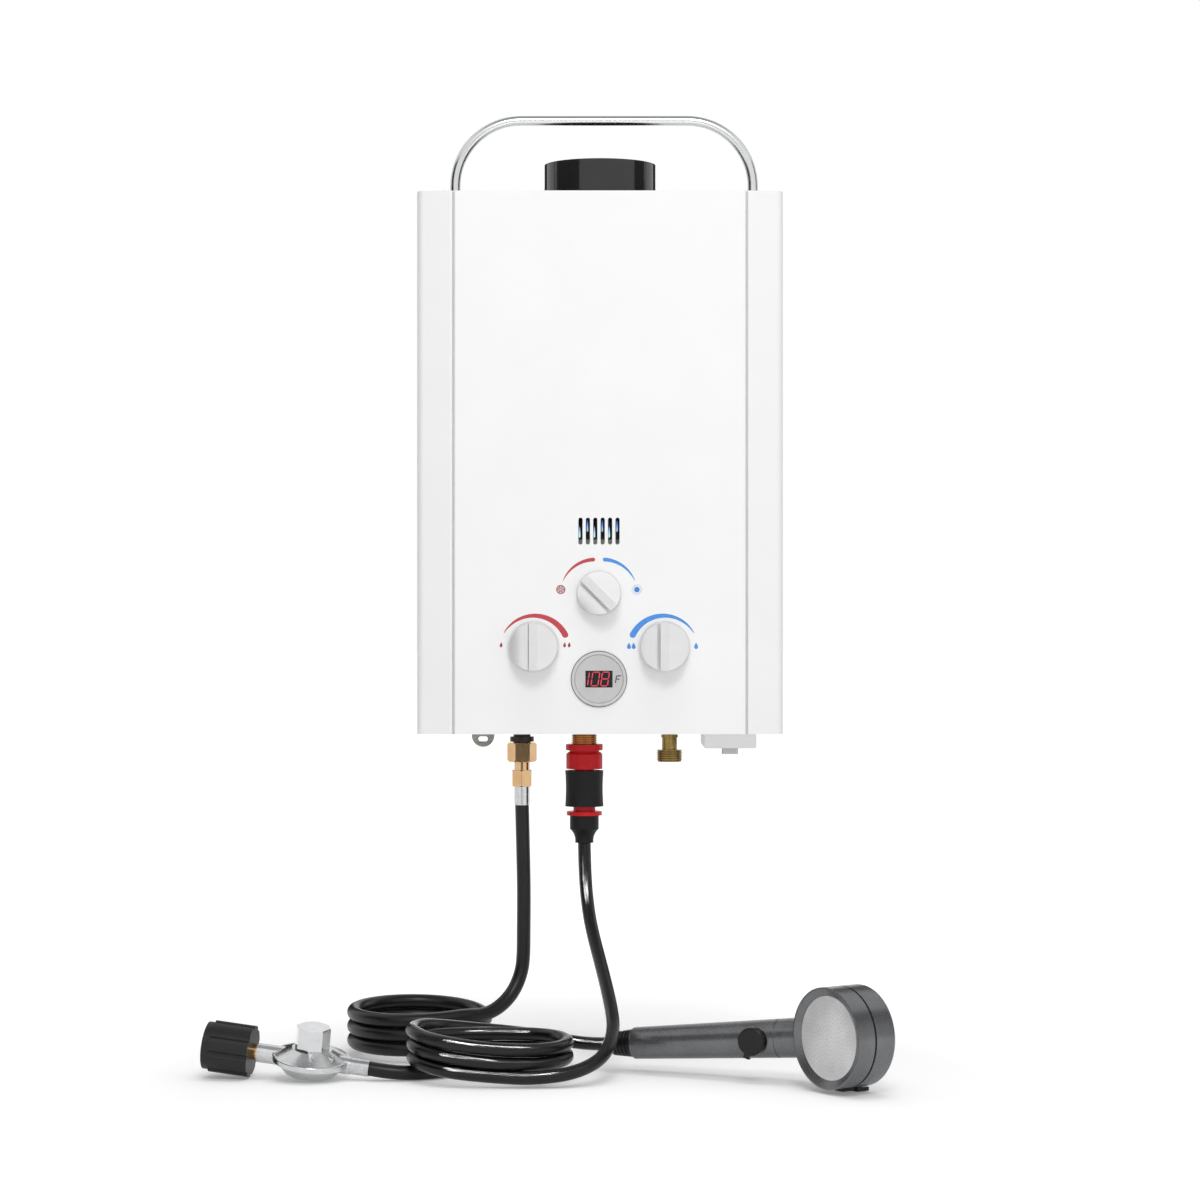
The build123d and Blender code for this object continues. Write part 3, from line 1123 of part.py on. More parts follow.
# From the water valve round the burner housing, up through the fins' end and down to the hot outlet.
wrap_x = CORE_W / 2 + TUBE_R + WRAP_GAP
wrap_front_y = CORE_FRONT_Y - TUBE_R - WRAP_GAP
wrap_rear_y = CORE_REAR_Y + TUBE_R + WRAP_GAP
side_x = wrap_x + 2 * TUBE_R + SHEET
return_y = core_mid_y + TUBE_RETURN
wrap_z = [EXCHANGER_BOTTOM + rise for rise in WRAP_RISES]
down_z = [EXCHANGER_BOTTOM + rise for rise in DOWN_RISES]
low_z = [TRAY_BOTTOM - drop for drop in DOWN_DROPS]
WATER_ROUTE = [
    (WATER_VALVE_RIGHT, valve_mid_y, VALVE_Z + VALVE_PORT_RISE), (side_x, valve_mid_y, VALVE_Z + VALVE_PORT_RISE),
    (side_x, valve_mid_y + SIDE_SET, TRAY_BOTTOM + SIDE_RISE), (side_x, core_mid_y, wrap_z[0]),
    (wrap_x, wrap_front_y, wrap_z[1]), (-wrap_x, wrap_front_y, wrap_z[2]),
    (-wrap_x, wrap_rear_y, wrap_z[3]), (wrap_x, wrap_rear_y, wrap_z[4]),
    (wrap_x, wrap_front_y, wrap_z[5]), (-wrap_x, wrap_front_y, wrap_z[6]),
    (-side_x, core_mid_y, down_z[0]), (-side_x, return_y, down_z[1]),
    (-side_x, return_y, low_z[0]), (-CORE_W / 2, return_y + DOWN_SETS[0], low_z[1]),
    (LOW_RUN_X, return_y + DOWN_SETS[1], low_z[2]), (HOT_X - HOT_LEAD, MID_Y + DOWN_SETS[2], low_z[3]),
    (HOT_X, MID_Y, hot_top + HOT_ENTRY), (HOT_X, MID_Y, hot_top),
]
with BuildPart() as water_tube:
    with BuildLine() as water_line:
        FilletPolyline(*WATER_ROUTE, radius=[min(TUBE_BEND, radius) for radius in tube_radii(WATER_ROUTE)])
    with BuildSketch(Plane(origin=water_line.line @ 0, z_dir=water_line.line % 0)):
        Circle(TUBE_R)
    sweep()
water_tube.part.label = "water_tube"
export_step(water_tube.part, "parts/water_tube.step")


# ================================================================ gas line
def hex_bar(across_flats, top, bottom, turn):
    """A hexagon nut on the Z axis with its corners turned off."""
    with BuildPart() as barrel:
        with Locations((0, 0, bottom)):
            Cylinder(HEX_BARREL * across_flats, top - bottom, align=BASE)
        chamfer(barrel.edges().filter_by(GeomType.CIRCLE), HEX_CHAMFER * across_flats)
    with BuildPart() as bar:
        with BuildSketch(Plane.XY.offset(bottom)):
            RegularPolygon(across_flats / 2, 6, major_radius=False, rotation=turn)
        extrude(amount=top - bottom)
        add(barrel.part, mode=Mode.INTERSECT)
    return bar.part


with BuildPart() as gas_line_nuts:
    with Locations((GAS_X, MID_Y, Z_BOTTOM)):
        add(hex_bar(BIG_HEX_AF, BIG_HEX_TOP, BIG_HEX_BOTTOM, BIG_HEX_TURN))
        add(hex_bar(SMALL_HEX_AF, SMALL_HEX_TOP, SMALL_HEX_BOTTOM, SMALL_HEX_TURN))
    with Locations((GAS_X, MID_Y, Z_BOTTOM + SMALL_HEX_TOP)):
        Cylinder(NECK_R, BIG_HEX_BOTTOM - SMALL_HEX_TOP, align=BASE)
gas_line_nuts.part.label = "gas_line_nuts"
export_step(gas_line_nuts.part, "parts/gas_line_nuts.step")

gas_hose_drop = hose(GAS_DROP, GAS_HOSE_D)
gas_hose_drop.part.label = "gas_hose_drop"
export_step(gas_hose_drop.part, "parts/gas_hose_drop.step")

with BuildPart() as gas_hose_coil:
    with BuildSketch(Plane((GAS_COIL_X, GAS_COIL_Y, FLOOR_Z + COIL_CLEAR))):
        Circle(GAS_COIL_R + GAS_HOSE_D / 2)
        Circle(GAS_COIL_R - GAS_HOSE_D / 2, mode=Mode.SUBTRACT)
    extrude(amount=GAS_COIL_H)
gas_hose_coil.part.label = "gas_hose_coil"
export_step(gas_hose_coil.part, "parts/gas_hose_coil.step")

gas_hose_tail = hose(GAS_TAIL, GAS_HOSE_D)
gas_hose_tail.part.label = "gas_hose_tail"
export_step(gas_hose_tail.part, "parts/gas_hose_tail.step")

# The regulator's own frame: LINE runs along its axis from the hose's end, DISC lies in its round body.
yaw = math.radians(REGULATOR_YAW)
pitch = math.radians(REGULATOR_PITCH)
roll = math.radians(REGULATOR_ROLL)
line_dir = Vector(-math.cos(yaw) * math.cos(pitch), math.sin(yaw) * math.cos(pitch), math.sin(pitch))
front_dir = Vector(0, 0, 1).cross(line_dir).normalized()
up_dir = line_dir.cross(front_dir) * math.cos(roll) + front_dir * math.sin(roll)
tail_x, tail_y, tail_height = GAS_TAIL[-1]
LINE = Plane(origin=(tail_x, tail_y, FLOOR_Z + tail_height), x_dir=up_dir, z_dir=line_dir)
DISC = Plane(origin=LINE.origin + line_dir * DISC_AT, x_dir=line_dir, z_dir=up_dir)

with BuildPart() as hose_ferrules:
    with Locations((GAS_X, MID_Y, FLOOR_Z + GAS_DROP[0][2])):
        Cylinder(FERRULE_R, FLOOR_DROP + SMALL_HEX_BOTTOM - GAS_DROP[0][2], align=BASE)
    with BuildSketch(LINE):
        Circle(END_FERRULE_R)
    extrude(amount=END_FERRULE_L)
hose_ferrules.part.label = "hose_ferrules"
export_step(hose_ferrules.part, "parts/hose_ferrules.step")

rim_top = DISC_RIM_T - DISC_RIM_DROP
bonnet_top = rim_top + BONNET_H
with BuildPart() as regulator_body:
    with BuildSketch(DISC.offset(-BOWL_DEPTH)):
        Circle(BOWL_R)
    with BuildSketch(DISC.offset(-DISC_RIM_DROP)):
        Circle(DISC_R - BOWL_INSET)
    loft()
    with BuildSketch(DISC.offset(rim_top)):
        Circle(DISC_R - BONNET_INSET)
    with BuildSketch(DISC.offset(bonnet_top)):
        Circle(BONNET_TOP_R)
    loft()
    with BuildSketch(DISC.offset(-DISC_RIM_DROP)):
        Circle(DISC_R)
    extrude(amount=DISC_RIM_T)
    fillet(regulator_body.edges().filter_by(GeomType.CIRCLE).group_by(SortBy.RADIUS)[-1], DISC_EDGE_R)
    with BuildSketch(LINE.offset(END_FERRULE_L)):
        Circle(OUTLET_BOSS_R)
    extrude(amount=DISC_AT - END_FERRULE_L)
    with BuildSketch(LINE.offset(DISC_AT)):
        Circle(INLET_BOSS_R)
    extrude(amount=INLET_BOSS_END - DISC_AT)
regulator_body.part.label = "regulator_body"
export_step(regulator_body.part, "parts/regulator_body.step")

with BuildPart() as regulator_cap:
    with BuildSketch(DISC.offset(bonnet_top)):
        RegularPolygon(CAP_R, CAP_SIDES)
    extrude(amount=CAP_H)
    chamfer(regulator_cap.faces().sort_by(Axis(DISC.origin, DISC.z_dir))[-1].edges(), CAP_CHAMFER)
regulator_cap.part.label = "regulator_cap"
export_step(regulator_cap.part, "parts/regulator_cap.step")

collar_at = NUT_START + NUT_FLOOR + NUT_FIT
nose_end = NUT_START + NUT_L - BRASS_NOSE_SET
with BuildPart() as cylinder_nipple:
    with BuildSketch(LINE.offset(INLET_BOSS_END)):
        Circle(BRASS_R)
    extrude(amount=collar_at - INLET_BOSS_END)
    with BuildSketch(LINE.offset(collar_at)):
        Circle(BRASS_COLLAR_R)
    extrude(amount=BRASS_COLLAR_T)
    with BuildSketch(LINE.offset(collar_at)):
        Circle(BRASS_NOSE_R)
    extrude(amount=nose_end - collar_at)
cylinder_nipple.part.label = "cylinder_nipple"
export_step(cylinder_nipple.part, "parts/cylinder_nipple.step")

with BuildPart() as cylinder_nut:
    with BuildSketch(LINE.offset(NUT_START)):
        Circle(NUT_R)
        with PolarLocations(NUT_R + SCALLOP_OUT, NUT_SCALLOPS):
            Circle(SCALLOP_R, mode=Mode.SUBTRACT)
    extrude(amount=NUT_L - NUT_RIM_L)
    with BuildSketch(LINE.offset(NUT_START + NUT_L - NUT_RIM_L)):
        Circle(NUT_RIM_R)
    extrude(amount=NUT_RIM_L)
    with BuildSketch(LINE.offset(NUT_START + NUT_FLOOR)):
        Circle(NUT_BORE_R)
    extrude(amount=NUT_L, mode=Mode.SUBTRACT)
    with BuildSketch(LINE.offset(NUT_START)):
        Circle(BRASS_R + NUT_FIT)
    extrude(amount=NUT_L, mode=Mode.SUBTRACT)
cylinder_nut.part.label = "cylinder_nut"
export_step(cylinder_nut.part, "parts/cylinder_nut.step")

# ================================================================ quick coupling and shower hose
HOT = Plane(origin=(HOT_X, MID_Y, Z_BOTTOM), x_dir=(1, 0, 0), z_dir=(0, -1, 0))
hot_axis = Axis((HOT_X, MID_Y, 0), (0, 0, 1))
with BuildPart() as tap_connector:
    with BuildSketch(HOT):
        Polygon(
            (0, TAP_FLANGE_TOP), (TAP_FLANGE_R, TAP_FLANGE_TOP), (TAP_FLANGE_R, TAP_FLANGE_BOTTOM),
            (TAP_NECK_R, TAP_FLANGE_BOTTOM), (TAP_NECK_R, TAP_BODY_TOP),
            (TAP_BODY_R - TAP_CHAMFER, TAP_BODY_TOP), (TAP_BODY_R, TAP_BODY_TOP - TAP_CHAMFER),
            (TAP_BODY_R, TAP_BODY_BOTTOM), (SPIGOT_R, TAP_BODY_BOTTOM),
            (SPIGOT_R, SPIGOT_BOTTOM), (0, SPIGOT_BOTTOM), align=None)
        Polygon((0, TAP_FLANGE_TOP + 1), (THREAD_R + THREAD_FIT, TAP_FLANGE_TOP + 1),
                (THREAD_R + THREAD_FIT, HOT_THREAD_BOTTOM), (0, HOT_THREAD_BOTTOM), align=None,
                mode=Mode.SUBTRACT)
    revolve(axis=hot_axis)
tap_connector.part.label = "tap_connector"
export_step(tap_connector.part, "parts/tap_connector.step")

sleeve_bore = BARREL_R + SLEEVE_FIT
with BuildPart() as quick_sleeve:
    with BuildSketch(HOT):
        with BuildLine():
            Polyline((SLEEVE_R, SLEEVE_TOP), (sleeve_bore, SLEEVE_TOP), (sleeve_bore, SLEEVE_BOTTOM),
                     (SLEEVE_R, SLEEVE_BOTTOM))
            ThreePointArc((SLEEVE_R, SLEEVE_BOTTOM), (SLEEVE_WAIST_R, (SLEEVE_TOP + SLEEVE_BOTTOM) / 2),
                          (SLEEVE_R, SLEEVE_TOP))
        make_face()
    revolve(axis=hot_axis)
quick_sleeve.part.label = "quick_sleeve"
export_step(quick_sleeve.part, "parts/quick_sleeve.step")

with BuildPart() as quick_body:
    with BuildSketch(HOT):
        Polygon(
            (SPIGOT_R + SLEEVE_FIT, BARREL_TOP), (BARREL_R, BARREL_TOP), (BARREL_R, BARREL_BOTTOM),
            (QUICK_NECK_R, BARREL_BOTTOM), (QUICK_NECK_R, QUICK_FLANGE_TOP),
            (QUICK_FLANGE_R, QUICK_FLANGE_TOP), (QUICK_FLANGE_R, QUICK_FLANGE_BOTTOM),
            (0, QUICK_FLANGE_BOTTOM), (0, SPIGOT_BOTTOM), (SPIGOT_R + SLEEVE_FIT, SPIGOT_BOTTOM), align=None)
    revolve(axis=hot_axis)
quick_body.part.label = "quick_body"
export_step(quick_body.part, "parts/quick_body.step")

with BuildPart() as hose_nut:
    with BuildSketch(HOT):
        with BuildLine():
            Polyline((HOSE_NUT_R, HOSE_NUT_BOTTOM), (HOSE_NUT_R, QUICK_FLANGE_BOTTOM),
                     (0, QUICK_FLANGE_BOTTOM), (0, HOSE_NUT_END), (HOSE_NUT_END_R, HOSE_NUT_END))
            ThreePointArc((HOSE_NUT_END_R, HOSE_NUT_END), (HOSE_NUT_WAIST_R, HOSE_NUT_WAIST),
                          (HOSE_NUT_R, HOSE_NUT_BOTTOM))
        make_face()
    revolve(axis=hot_axis)
hose_nut.part.label = "hose_nut"
export_step(hose_nut.part, "parts/hose_nut.step")

shower_hose_drop = hose(SHOWER_DROP, SHOWER_HOSE_D)
shower_hose_drop.part.label = "shower_hose_drop"
export_step(shower_hose_drop.part, "parts/shower_hose_drop.step")

lean_left = SHOWER_COIL_LIFT * LIFT_LEFT / SHOWER_COIL_A
lean_back = SHOWER_COIL_LIFT * LIFT_BACK / SHOWER_COIL_B
COIL = Plane(origin=(SHOWER_COIL_X, SHOWER_COIL_Y, FLOOR_Z + SHOWER_COIL_LIFT), x_dir=(1, 0, -lean_left),
             z_dir=(lean_left, -lean_back, 1))
with BuildPart() as shower_hose_coil:
    with BuildSketch(COIL):
        Ellipse(SHOWER_COIL_A + SHOWER_HOSE_D / 2, SHOWER_COIL_B + SHOWER_HOSE_D / 2)
        Ellipse(SHOWER_COIL_A - SHOWER_HOSE_D / 2, SHOWER_COIL_B - SHOWER_HOSE_D / 2, mode=Mode.SUBTRACT)
    extrude(amount=SHOWER_COIL_H, dir=(0, 0, 1))
shower_hose_coil.part.label = "shower_hose_coil"
export_step(shower_hose_coil.part, "parts/shower_hose_coil.step")

shower_hose_tail = hose(SHOWER_TAIL, SHOWER_HOSE_D)
shower_hose_tail.part.label = "shower_hose_tail"
export_step(shower_hose_tail.part, "parts/shower_hose_tail.step")

# ================================================================ hand shower
knob_dir = GRIP_DIR.cross(Vector(0, 0, 1)).normalized()
GRIP = Plane(origin=HANDLE_TAIL, x_dir=knob_dir, z_dir=GRIP_DIR)
seat_centre = HANDLE_TAIL + GRIP_DIR * SHOWER_KNOB_AT + knob_dir * SHOWER_SEAT
SEAT = Plane(origin=seat_centre, x_dir=GRIP_DIR, z_dir=knob_dir)
HEAD = Plane(origin=FACE_CENTRE, x_dir=(0, 0, 1), z_dir=FACE_NORMAL)

with BuildPart() as hose_end:
    with BuildSketch(GRIP.offset(-HOSE_END_L)):
        Circle(HOSE_END_START_R)
    with BuildSketch(GRIP):
        Circle(HOSE_END_R)
    loft()
    for index in range(1, HOSE_END_GROOVES + 1):
        groove_at = HOSE_END_PITCH * index
        wall_r = HOSE_END_R - (HOSE_END_R - HOSE_END_START_R) * groove_at / HOSE_END_L
        with BuildSketch(GRIP.offset(-groove_at)):
            Circle(HOSE_END_R + 1)
            Circle(wall_r - HOSE_END_GROOVE, mode=Mode.SUBTRACT)
        extrude(amount=-HOSE_END_GROOVE_W, mode=Mode.SUBTRACT)
hose_end.part.label = "hose_end"
export_step(hose_end.part, "parts/hose_end.step")

with BuildPart() as shower_handle:
    with BuildSketch(GRIP):
        Circle(GRIP_TAIL_R)
    with BuildSketch(GRIP.offset(GRIP_L)):
        Circle(GRIP_HEAD_R)
    loft()
    fillet(shower_handle.edges().filter_by(GeomType.CIRCLE), GRIP_EDGE_R)
    with BuildSketch(GRIP.offset(GROOVE_AT)):
        Circle(GRIP_HEAD_R + 1)
        Circle(GRIP_HEAD_R - GROOVE_DEPTH, mode=Mode.SUBTRACT)
    extrude(amount=GROOVE_W, mode=Mode.SUBTRACT)
    with BuildSketch(GRIP.offset(GRIP_PLUG)):
        Circle(GRIP_BORE_R)
    extrude(amount=GRIP_L - 2 * GRIP_PLUG, mode=Mode.SUBTRACT)
    with BuildSketch(SEAT):
        Circle(SHOWER_SEAT_R)
    extrude(amount=GRIP_HEAD_R, mode=Mode.SUBTRACT)
    with BuildSketch(SEAT):
        Circle(SHOWER_SHAFT_R + SHAFT_FIT)
    extrude(amount=-SHOWER_SEAT, mode=Mode.SUBTRACT)
shower_handle.part.label = "shower_handle"
export_step(shower_handle.part, "parts/shower_handle.step")

with BuildPart() as shower_knob:
    with BuildSketch(SEAT.offset(NUT_FIT)):
        Circle(SHOWER_KNOB_R)
    extrude(amount=SHOWER_KNOB_H)
    fillet(shower_knob.faces().sort_by(Axis(SEAT.origin, SEAT.z_dir))[-1].edges(), SHOWER_KNOB_EDGE_R)
    with BuildSketch(SEAT.offset(STUB_RISE)):
        with PolarLocations(STUB_AT, 1, start_angle=STUB_ANGLE):
            Rectangle(STUB_L, STUB_W)
    extrude(amount=STUB_T)
    with BuildSketch(SEAT.offset(NUT_FIT)):
        Circle(SHOWER_SHAFT_R)
    extrude(amount=-(SHOWER_SEAT + NUT_FIT - SHOWER_SHAFT_END))
shower_knob.part.label = "shower_knob"
export_step(shower_knob.part, "parts/shower_knob.step")

with BuildPart() as shower_rim:
    with BuildSketch(HEAD):
        Circle(HEAD_R)
    extrude(amount=-RIM_BACK)
    with BuildSketch(HEAD):
        Circle(HEAD_R - RIM_EDGE)
    with BuildSketch(HEAD.offset(-RIM_DISH)):
        Circle(RIM_INNER_R)
    loft(mode=Mode.SUBTRACT)
    with BuildSketch(HEAD.offset(-RIM_DISH)):
        Circle(RIM_INNER_R)
    extrude(amount=RIM_DISH - PLATE_BACK, mode=Mode.SUBTRACT)
    with BuildSketch(HEAD.offset(-PLATE_BACK)):
        Circle(CORE_R + NUT_FIT)
    extrude(amount=-RIM_BACK, mode=Mode.SUBTRACT)
shower_rim.part.label = "shower_rim"
export_step(shower_rim.part, "parts/shower_rim.step")

with BuildPart() as spray_plate:
    with BuildSketch(HEAD.offset(-PLATE_BACK)):
        Circle(RIM_INNER_R - PLATE_FIT)
    extrude(amount=PLATE_T)
spray_plate.part.label = "spray_plate"
export_step(spray_plate.part, "parts/spray_plate.step")

with BuildPart() as shower_head:
    with BuildSketch(HEAD.offset(-SHELL_START)):
        Circle(HEAD_R)
    extrude(amount=SHELL_START - HEAD_DEPTH)
    fillet(shower_head.faces().sort_by(Axis(HEAD.origin, HEAD.z_dir))[0].edges(), HEAD_EDGE_R)
    with BuildSketch(HEAD.offset(-SHELL_START)):
        Circle(HEAD_R - HEAD_WALL)
    extrude(amount=SHELL_START - SHELL_FLOOR, mode=Mode.SUBTRACT)
    with BuildSketch(HEAD.offset(-CORE_START)):
        Circle(CORE_R)
        Circle(CORE_R - CORE_WALL, mode=Mode.SUBTRACT)
    extrude(amount=CORE_START - SHELL_FLOOR)
    with BuildSketch(GRIP.offset(GRIP_L)):
        Circle(HEAD_NECK_R)
    extrude(amount=HEAD_NECK_L)
shower_head.part.label = "shower_head"
export_step(shower_head.part, "parts/shower_head.step")


def tab(width, inner_r, outer_r, start, end):
    """A block at the bottom of the shower head, between two radii and two depths behind the face."""
    with BuildPart() as block:
        with BuildSketch(HEAD.offset(-start)):
            with Locations((-(inner_r + outer_r) / 2, 0)):
                Rectangle(outer_r - inner_r, width)
        extrude(amount=start - end)
    return block.part


ring_front = HEAD_SEAM - LEVER_RING_T / 2
ring_back = HEAD_SEAM + LEVER_RING_T / 2
tab_r = HEAD_R + NUT_FIT
with BuildPart() as spray_lever:
    with BuildSketch(HEAD.offset(-ring_front)):
        Circle(LEVER_RING_R)
        Circle(CORE_R + NUT_FIT, mode=Mode.SUBTRACT)
    extrude(amount=-LEVER_RING_T)
    add(tab(LEVER_NECK_W, LEVER_RING_R - 1, tab_r + 1, ring_front, ring_back))
    add(tab(TONGUE_W, tab_r, TONGUE_R, TONGUE_START, TONGUE_END))
    add(tab(BLOCK_W, tab_r, BLOCK_R, BLOCK_START, BLOCK_END))
spray_lever.part.label = "spray_lever"
export_step(spray_lever.part, "parts/spray_lever.step")
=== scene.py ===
import json
import math

import bmesh
import bpy
import numpy as np
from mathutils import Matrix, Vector


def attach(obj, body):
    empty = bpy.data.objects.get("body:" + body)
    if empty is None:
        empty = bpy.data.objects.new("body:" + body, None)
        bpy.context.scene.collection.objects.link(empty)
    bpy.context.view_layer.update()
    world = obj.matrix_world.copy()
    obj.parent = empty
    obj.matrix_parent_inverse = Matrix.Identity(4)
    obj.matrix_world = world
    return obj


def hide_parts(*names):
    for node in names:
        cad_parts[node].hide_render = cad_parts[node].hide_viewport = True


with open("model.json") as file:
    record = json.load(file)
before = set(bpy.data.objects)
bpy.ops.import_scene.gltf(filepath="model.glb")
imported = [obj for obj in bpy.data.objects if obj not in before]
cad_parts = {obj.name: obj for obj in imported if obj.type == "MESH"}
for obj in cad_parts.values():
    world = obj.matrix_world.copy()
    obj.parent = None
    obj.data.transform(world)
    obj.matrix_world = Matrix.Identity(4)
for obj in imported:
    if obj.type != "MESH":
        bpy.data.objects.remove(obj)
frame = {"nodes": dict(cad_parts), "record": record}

for starter in ("Cube", "Light", "Camera"):
    if starter in bpy.data.objects:
        bpy.data.objects.remove(bpy.data.objects[starter])
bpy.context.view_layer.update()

# Sizes of the heater, in mm, in the frame of the CAD model.
FRONT_Y = -125.0           # face of the front panel
CASING_BOTTOM = -380.0
SEAM_X = 116.0             # seams between the front panel and the side panels
SEAM_SHADE_TOP = 49.0       # upper end of the painted shade in them
CONTROLS_X = -0.8          # the controls' middle line
SIDE_KNOB_X = 51.8         # gas and water knobs, left and right of that line
SIDE_KNOB_Z = -310.7
MODE_KNOB_Z = -268.3
DISPLAY_Z = -336.3
DISPLAY_FACE_Y = -126.6
WINDOW_Y = -126.3          # the display's dark window
SLOTS_Z = -219.3           # middle of the flame slots
SLOT_PITCH = 5.85
FLAMES_Y = -121.0
COLD_THREAD_TOP = -395.2
THREAD_PITCH = 1.814       # G1/2
GAS_HOSE_D = 11.3
SHOWER_HOSE_D = 10.5
FLOOR_Z = -642.0           # what the hoses lie on

INK_LIFT = 0.08            # how far a printed mark stands proud
CREASE_DEG = 30            # a new piece is smooth where its faces meet at less than this
WHITE = (1.0, 1.0, 1.0, 1.0)


# ---------------------------------------------------------------- camera

camera = bpy.data.objects.new("studio_camera", bpy.data.cameras.new("studio_camera"))
bpy.context.scene.collection.objects.link(camera)
camera.location = (0.0, -2.625, -0.2742)
camera.rotation_euler = (math.pi / 2, 0.0, 0.0)
camera.data.lens = 94.79
camera.data.sensor_width = 36.0
camera.data.clip_end = 50.0
bpy.context.scene.camera = camera


# ---------------------------------------------------------------- finishes

NOISE_LOW, NOISE_HIGH = 0.3, 0.7       # a noise texture is between these nearly everywhere
SHADE_BROWN = (0.03, 0.02, 0.012, 1.0)        # linear: an almost black brown, for painted shade
GROOVE_SHADE = 0.6                     # share of the colour lost to painted shade in a thread's roots
THIN_INK = 0.92                        # a printed ink's thin places, as a share of its colour


def linear(hex_colour):
    """An sRGB hex colour as the linear RGBA that a shader takes."""
    srgb = np.array([int(hex_colour[i:i + 2], 16) for i in (1, 3, 5)]) / 255
    curve = np.where(srgb <= 0.04045, srgb / 12.92, ((srgb + 0.055) / 1.055) ** 2.4)
    return (*curve.tolist(), 1.0)


def bare_material(name):
    """A new material and its node tree, emptied."""
    made = bpy.data.materials.new(name)
    made.use_nodes = True
    made.node_tree.nodes.clear()
    return made, made.node_tree


def add(tree, kind, inputs=None, **options):
    """Adds one node. inputs gives an input its value, or the socket that feeds it; options are the node's
    own settings."""
    node = tree.nodes.new("ShaderNode" + kind)
    for option, value in options.items():
        setattr(node, option, value)
    for socket, value in (inputs or {}).items():
        if isinstance(value, bpy.types.NodeSocket):
            tree.links.new(value, node.inputs[socket])
        else:
            node.inputs[socket].default_value = value
    return node


def finish(name, dark, light, drift_mm, rough, grain_mm, grain_um, shader=None, stretch=(1.0, 1.0, 1.0),
           relief=None, shade=None):
    """A surface whose colour drifts between two tones over patches drift_mm wide, whose skin has a grain
    grain_mm across and grain_um deep, and which is duller in the hollows of that grain: rough is its least
    and most. stretch is how much closer together the pattern lies along X, Y and Z. relief adds its own
    height to the grain, as a share of grain_um, and shade is how much of the colour is darkened as painted
    shade."""
    made, tree = bare_material(name)
    place = add(tree, "TexCoord").outputs["Object"]
    place = add(tree, "Mapping", {"Vector": place, "Scale": stretch}).outputs[0]
    drift = add(tree, "TexNoise", {"Vector": place, "Scale": 1000 / drift_mm, "Detail": 3.0}).outputs[0]
    grain = add(tree, "TexNoise", {"Vector": place, "Scale": 1000 / grain_mm, "Detail": 2.0}).outputs[0]
    tone = add(tree, "MapRange", {"Value": drift, "From Min": NOISE_LOW, "From Max": NOISE_HIGH}).outputs[0]
    colour = add(tree, "Mix", {0: tone, 6: linear(dark), 7: linear(light)}, data_type="RGBA").outputs[2]
    # Painted shade: the colour is darkened towards an almost black brown by the share that shade gives.
    if shade:
        colour = add(tree, "Mix", {0: shade(tree), 6: colour, 7: SHADE_BROWN}, data_type="RGBA").outputs[2]
    dull = add(tree, "MapRange", {"Value": grain, "From Min": NOISE_HIGH, "From Max": NOISE_LOW,
                                  "To Min": rough[0], "To Max": rough[1]}).outputs[0]
    if relief:
        grain = add(tree, "Math", {0: grain, 1: relief(tree)}, operation="ADD").outputs[0]
    skin = add(tree, "Bump", {"Height": grain, "Distance": grain_um / 1e6}).outputs[0]
    coat = add(tree, "BsdfPrincipled", {"Base Color": colour, "Roughness": dull, "Normal": skin,
                                        **(shader or {})})
    add(tree, "OutputMaterial", {"Surface": coat.outputs[0]})
    return made


def thread_grooves(top_mm):
    """Share of painted shade in a thread that starts at top_mm: none on a crest, to a quarter of the
    pitch below it, then rising evenly to GROOVE_SHADE at 0.45 of the pitch, and that from there on."""
    def shade(tree):
        height = add(tree, "SeparateXYZ", {0: add(tree, "TexCoord").outputs["Object"]}).outputs[2]
        turns = add(tree, "Math", {0: height, 1: -1000 / THREAD_PITCH, 2: top_mm / THREAD_PITCH},
                    operation="MULTIPLY_ADD").outputs[0]
        below = add(tree, "Math", {0: turns}, operation="FRACT").outputs[0]
        groove = add(tree, "MapRange", {"Value": below, "From Min": 0.25, "From Max": 0.45,
                                        "To Max": GROOVE_SHADE}).outputs[0]
        started = add(tree, "Math", {0: turns, 1: 0.0}, operation="GREATER_THAN").outputs[0]
        return add(tree, "Math", {0: groove, 1: started}, operation="MULTIPLY").outputs[0]
    return shade


def braid(around, along):
    """Height of a braid under a clear sheath: two families of strands that cross, around of them side by
    side and along turns of each over the hose's length. Each is a sine of the hose's own U and V, and the
    higher one shows."""
    def relief(tree):
        uv = add(tree, "SeparateXYZ", {0: add(tree, "TexCoord").outputs["UV"]}).outputs
        strands = []
        for lean in (1, -1):
            turn = add(tree, "Math", {0: uv[0], 1: lean * 2 * math.pi * around},
                       operation="MULTIPLY").outputs[0]
            phase = add(tree, "Math", {0: uv[1], 1: 2 * math.pi * along, 2: turn},
                        operation="MULTIPLY_ADD").outputs[0]
            strands.append(add(tree, "Math", {0: phase}, operation="SINE").outputs[0])
        return add(tree, "Math", {0: strands[0], 1: strands[1]}, operation="MAXIMUM").outputs[0]
    return relief


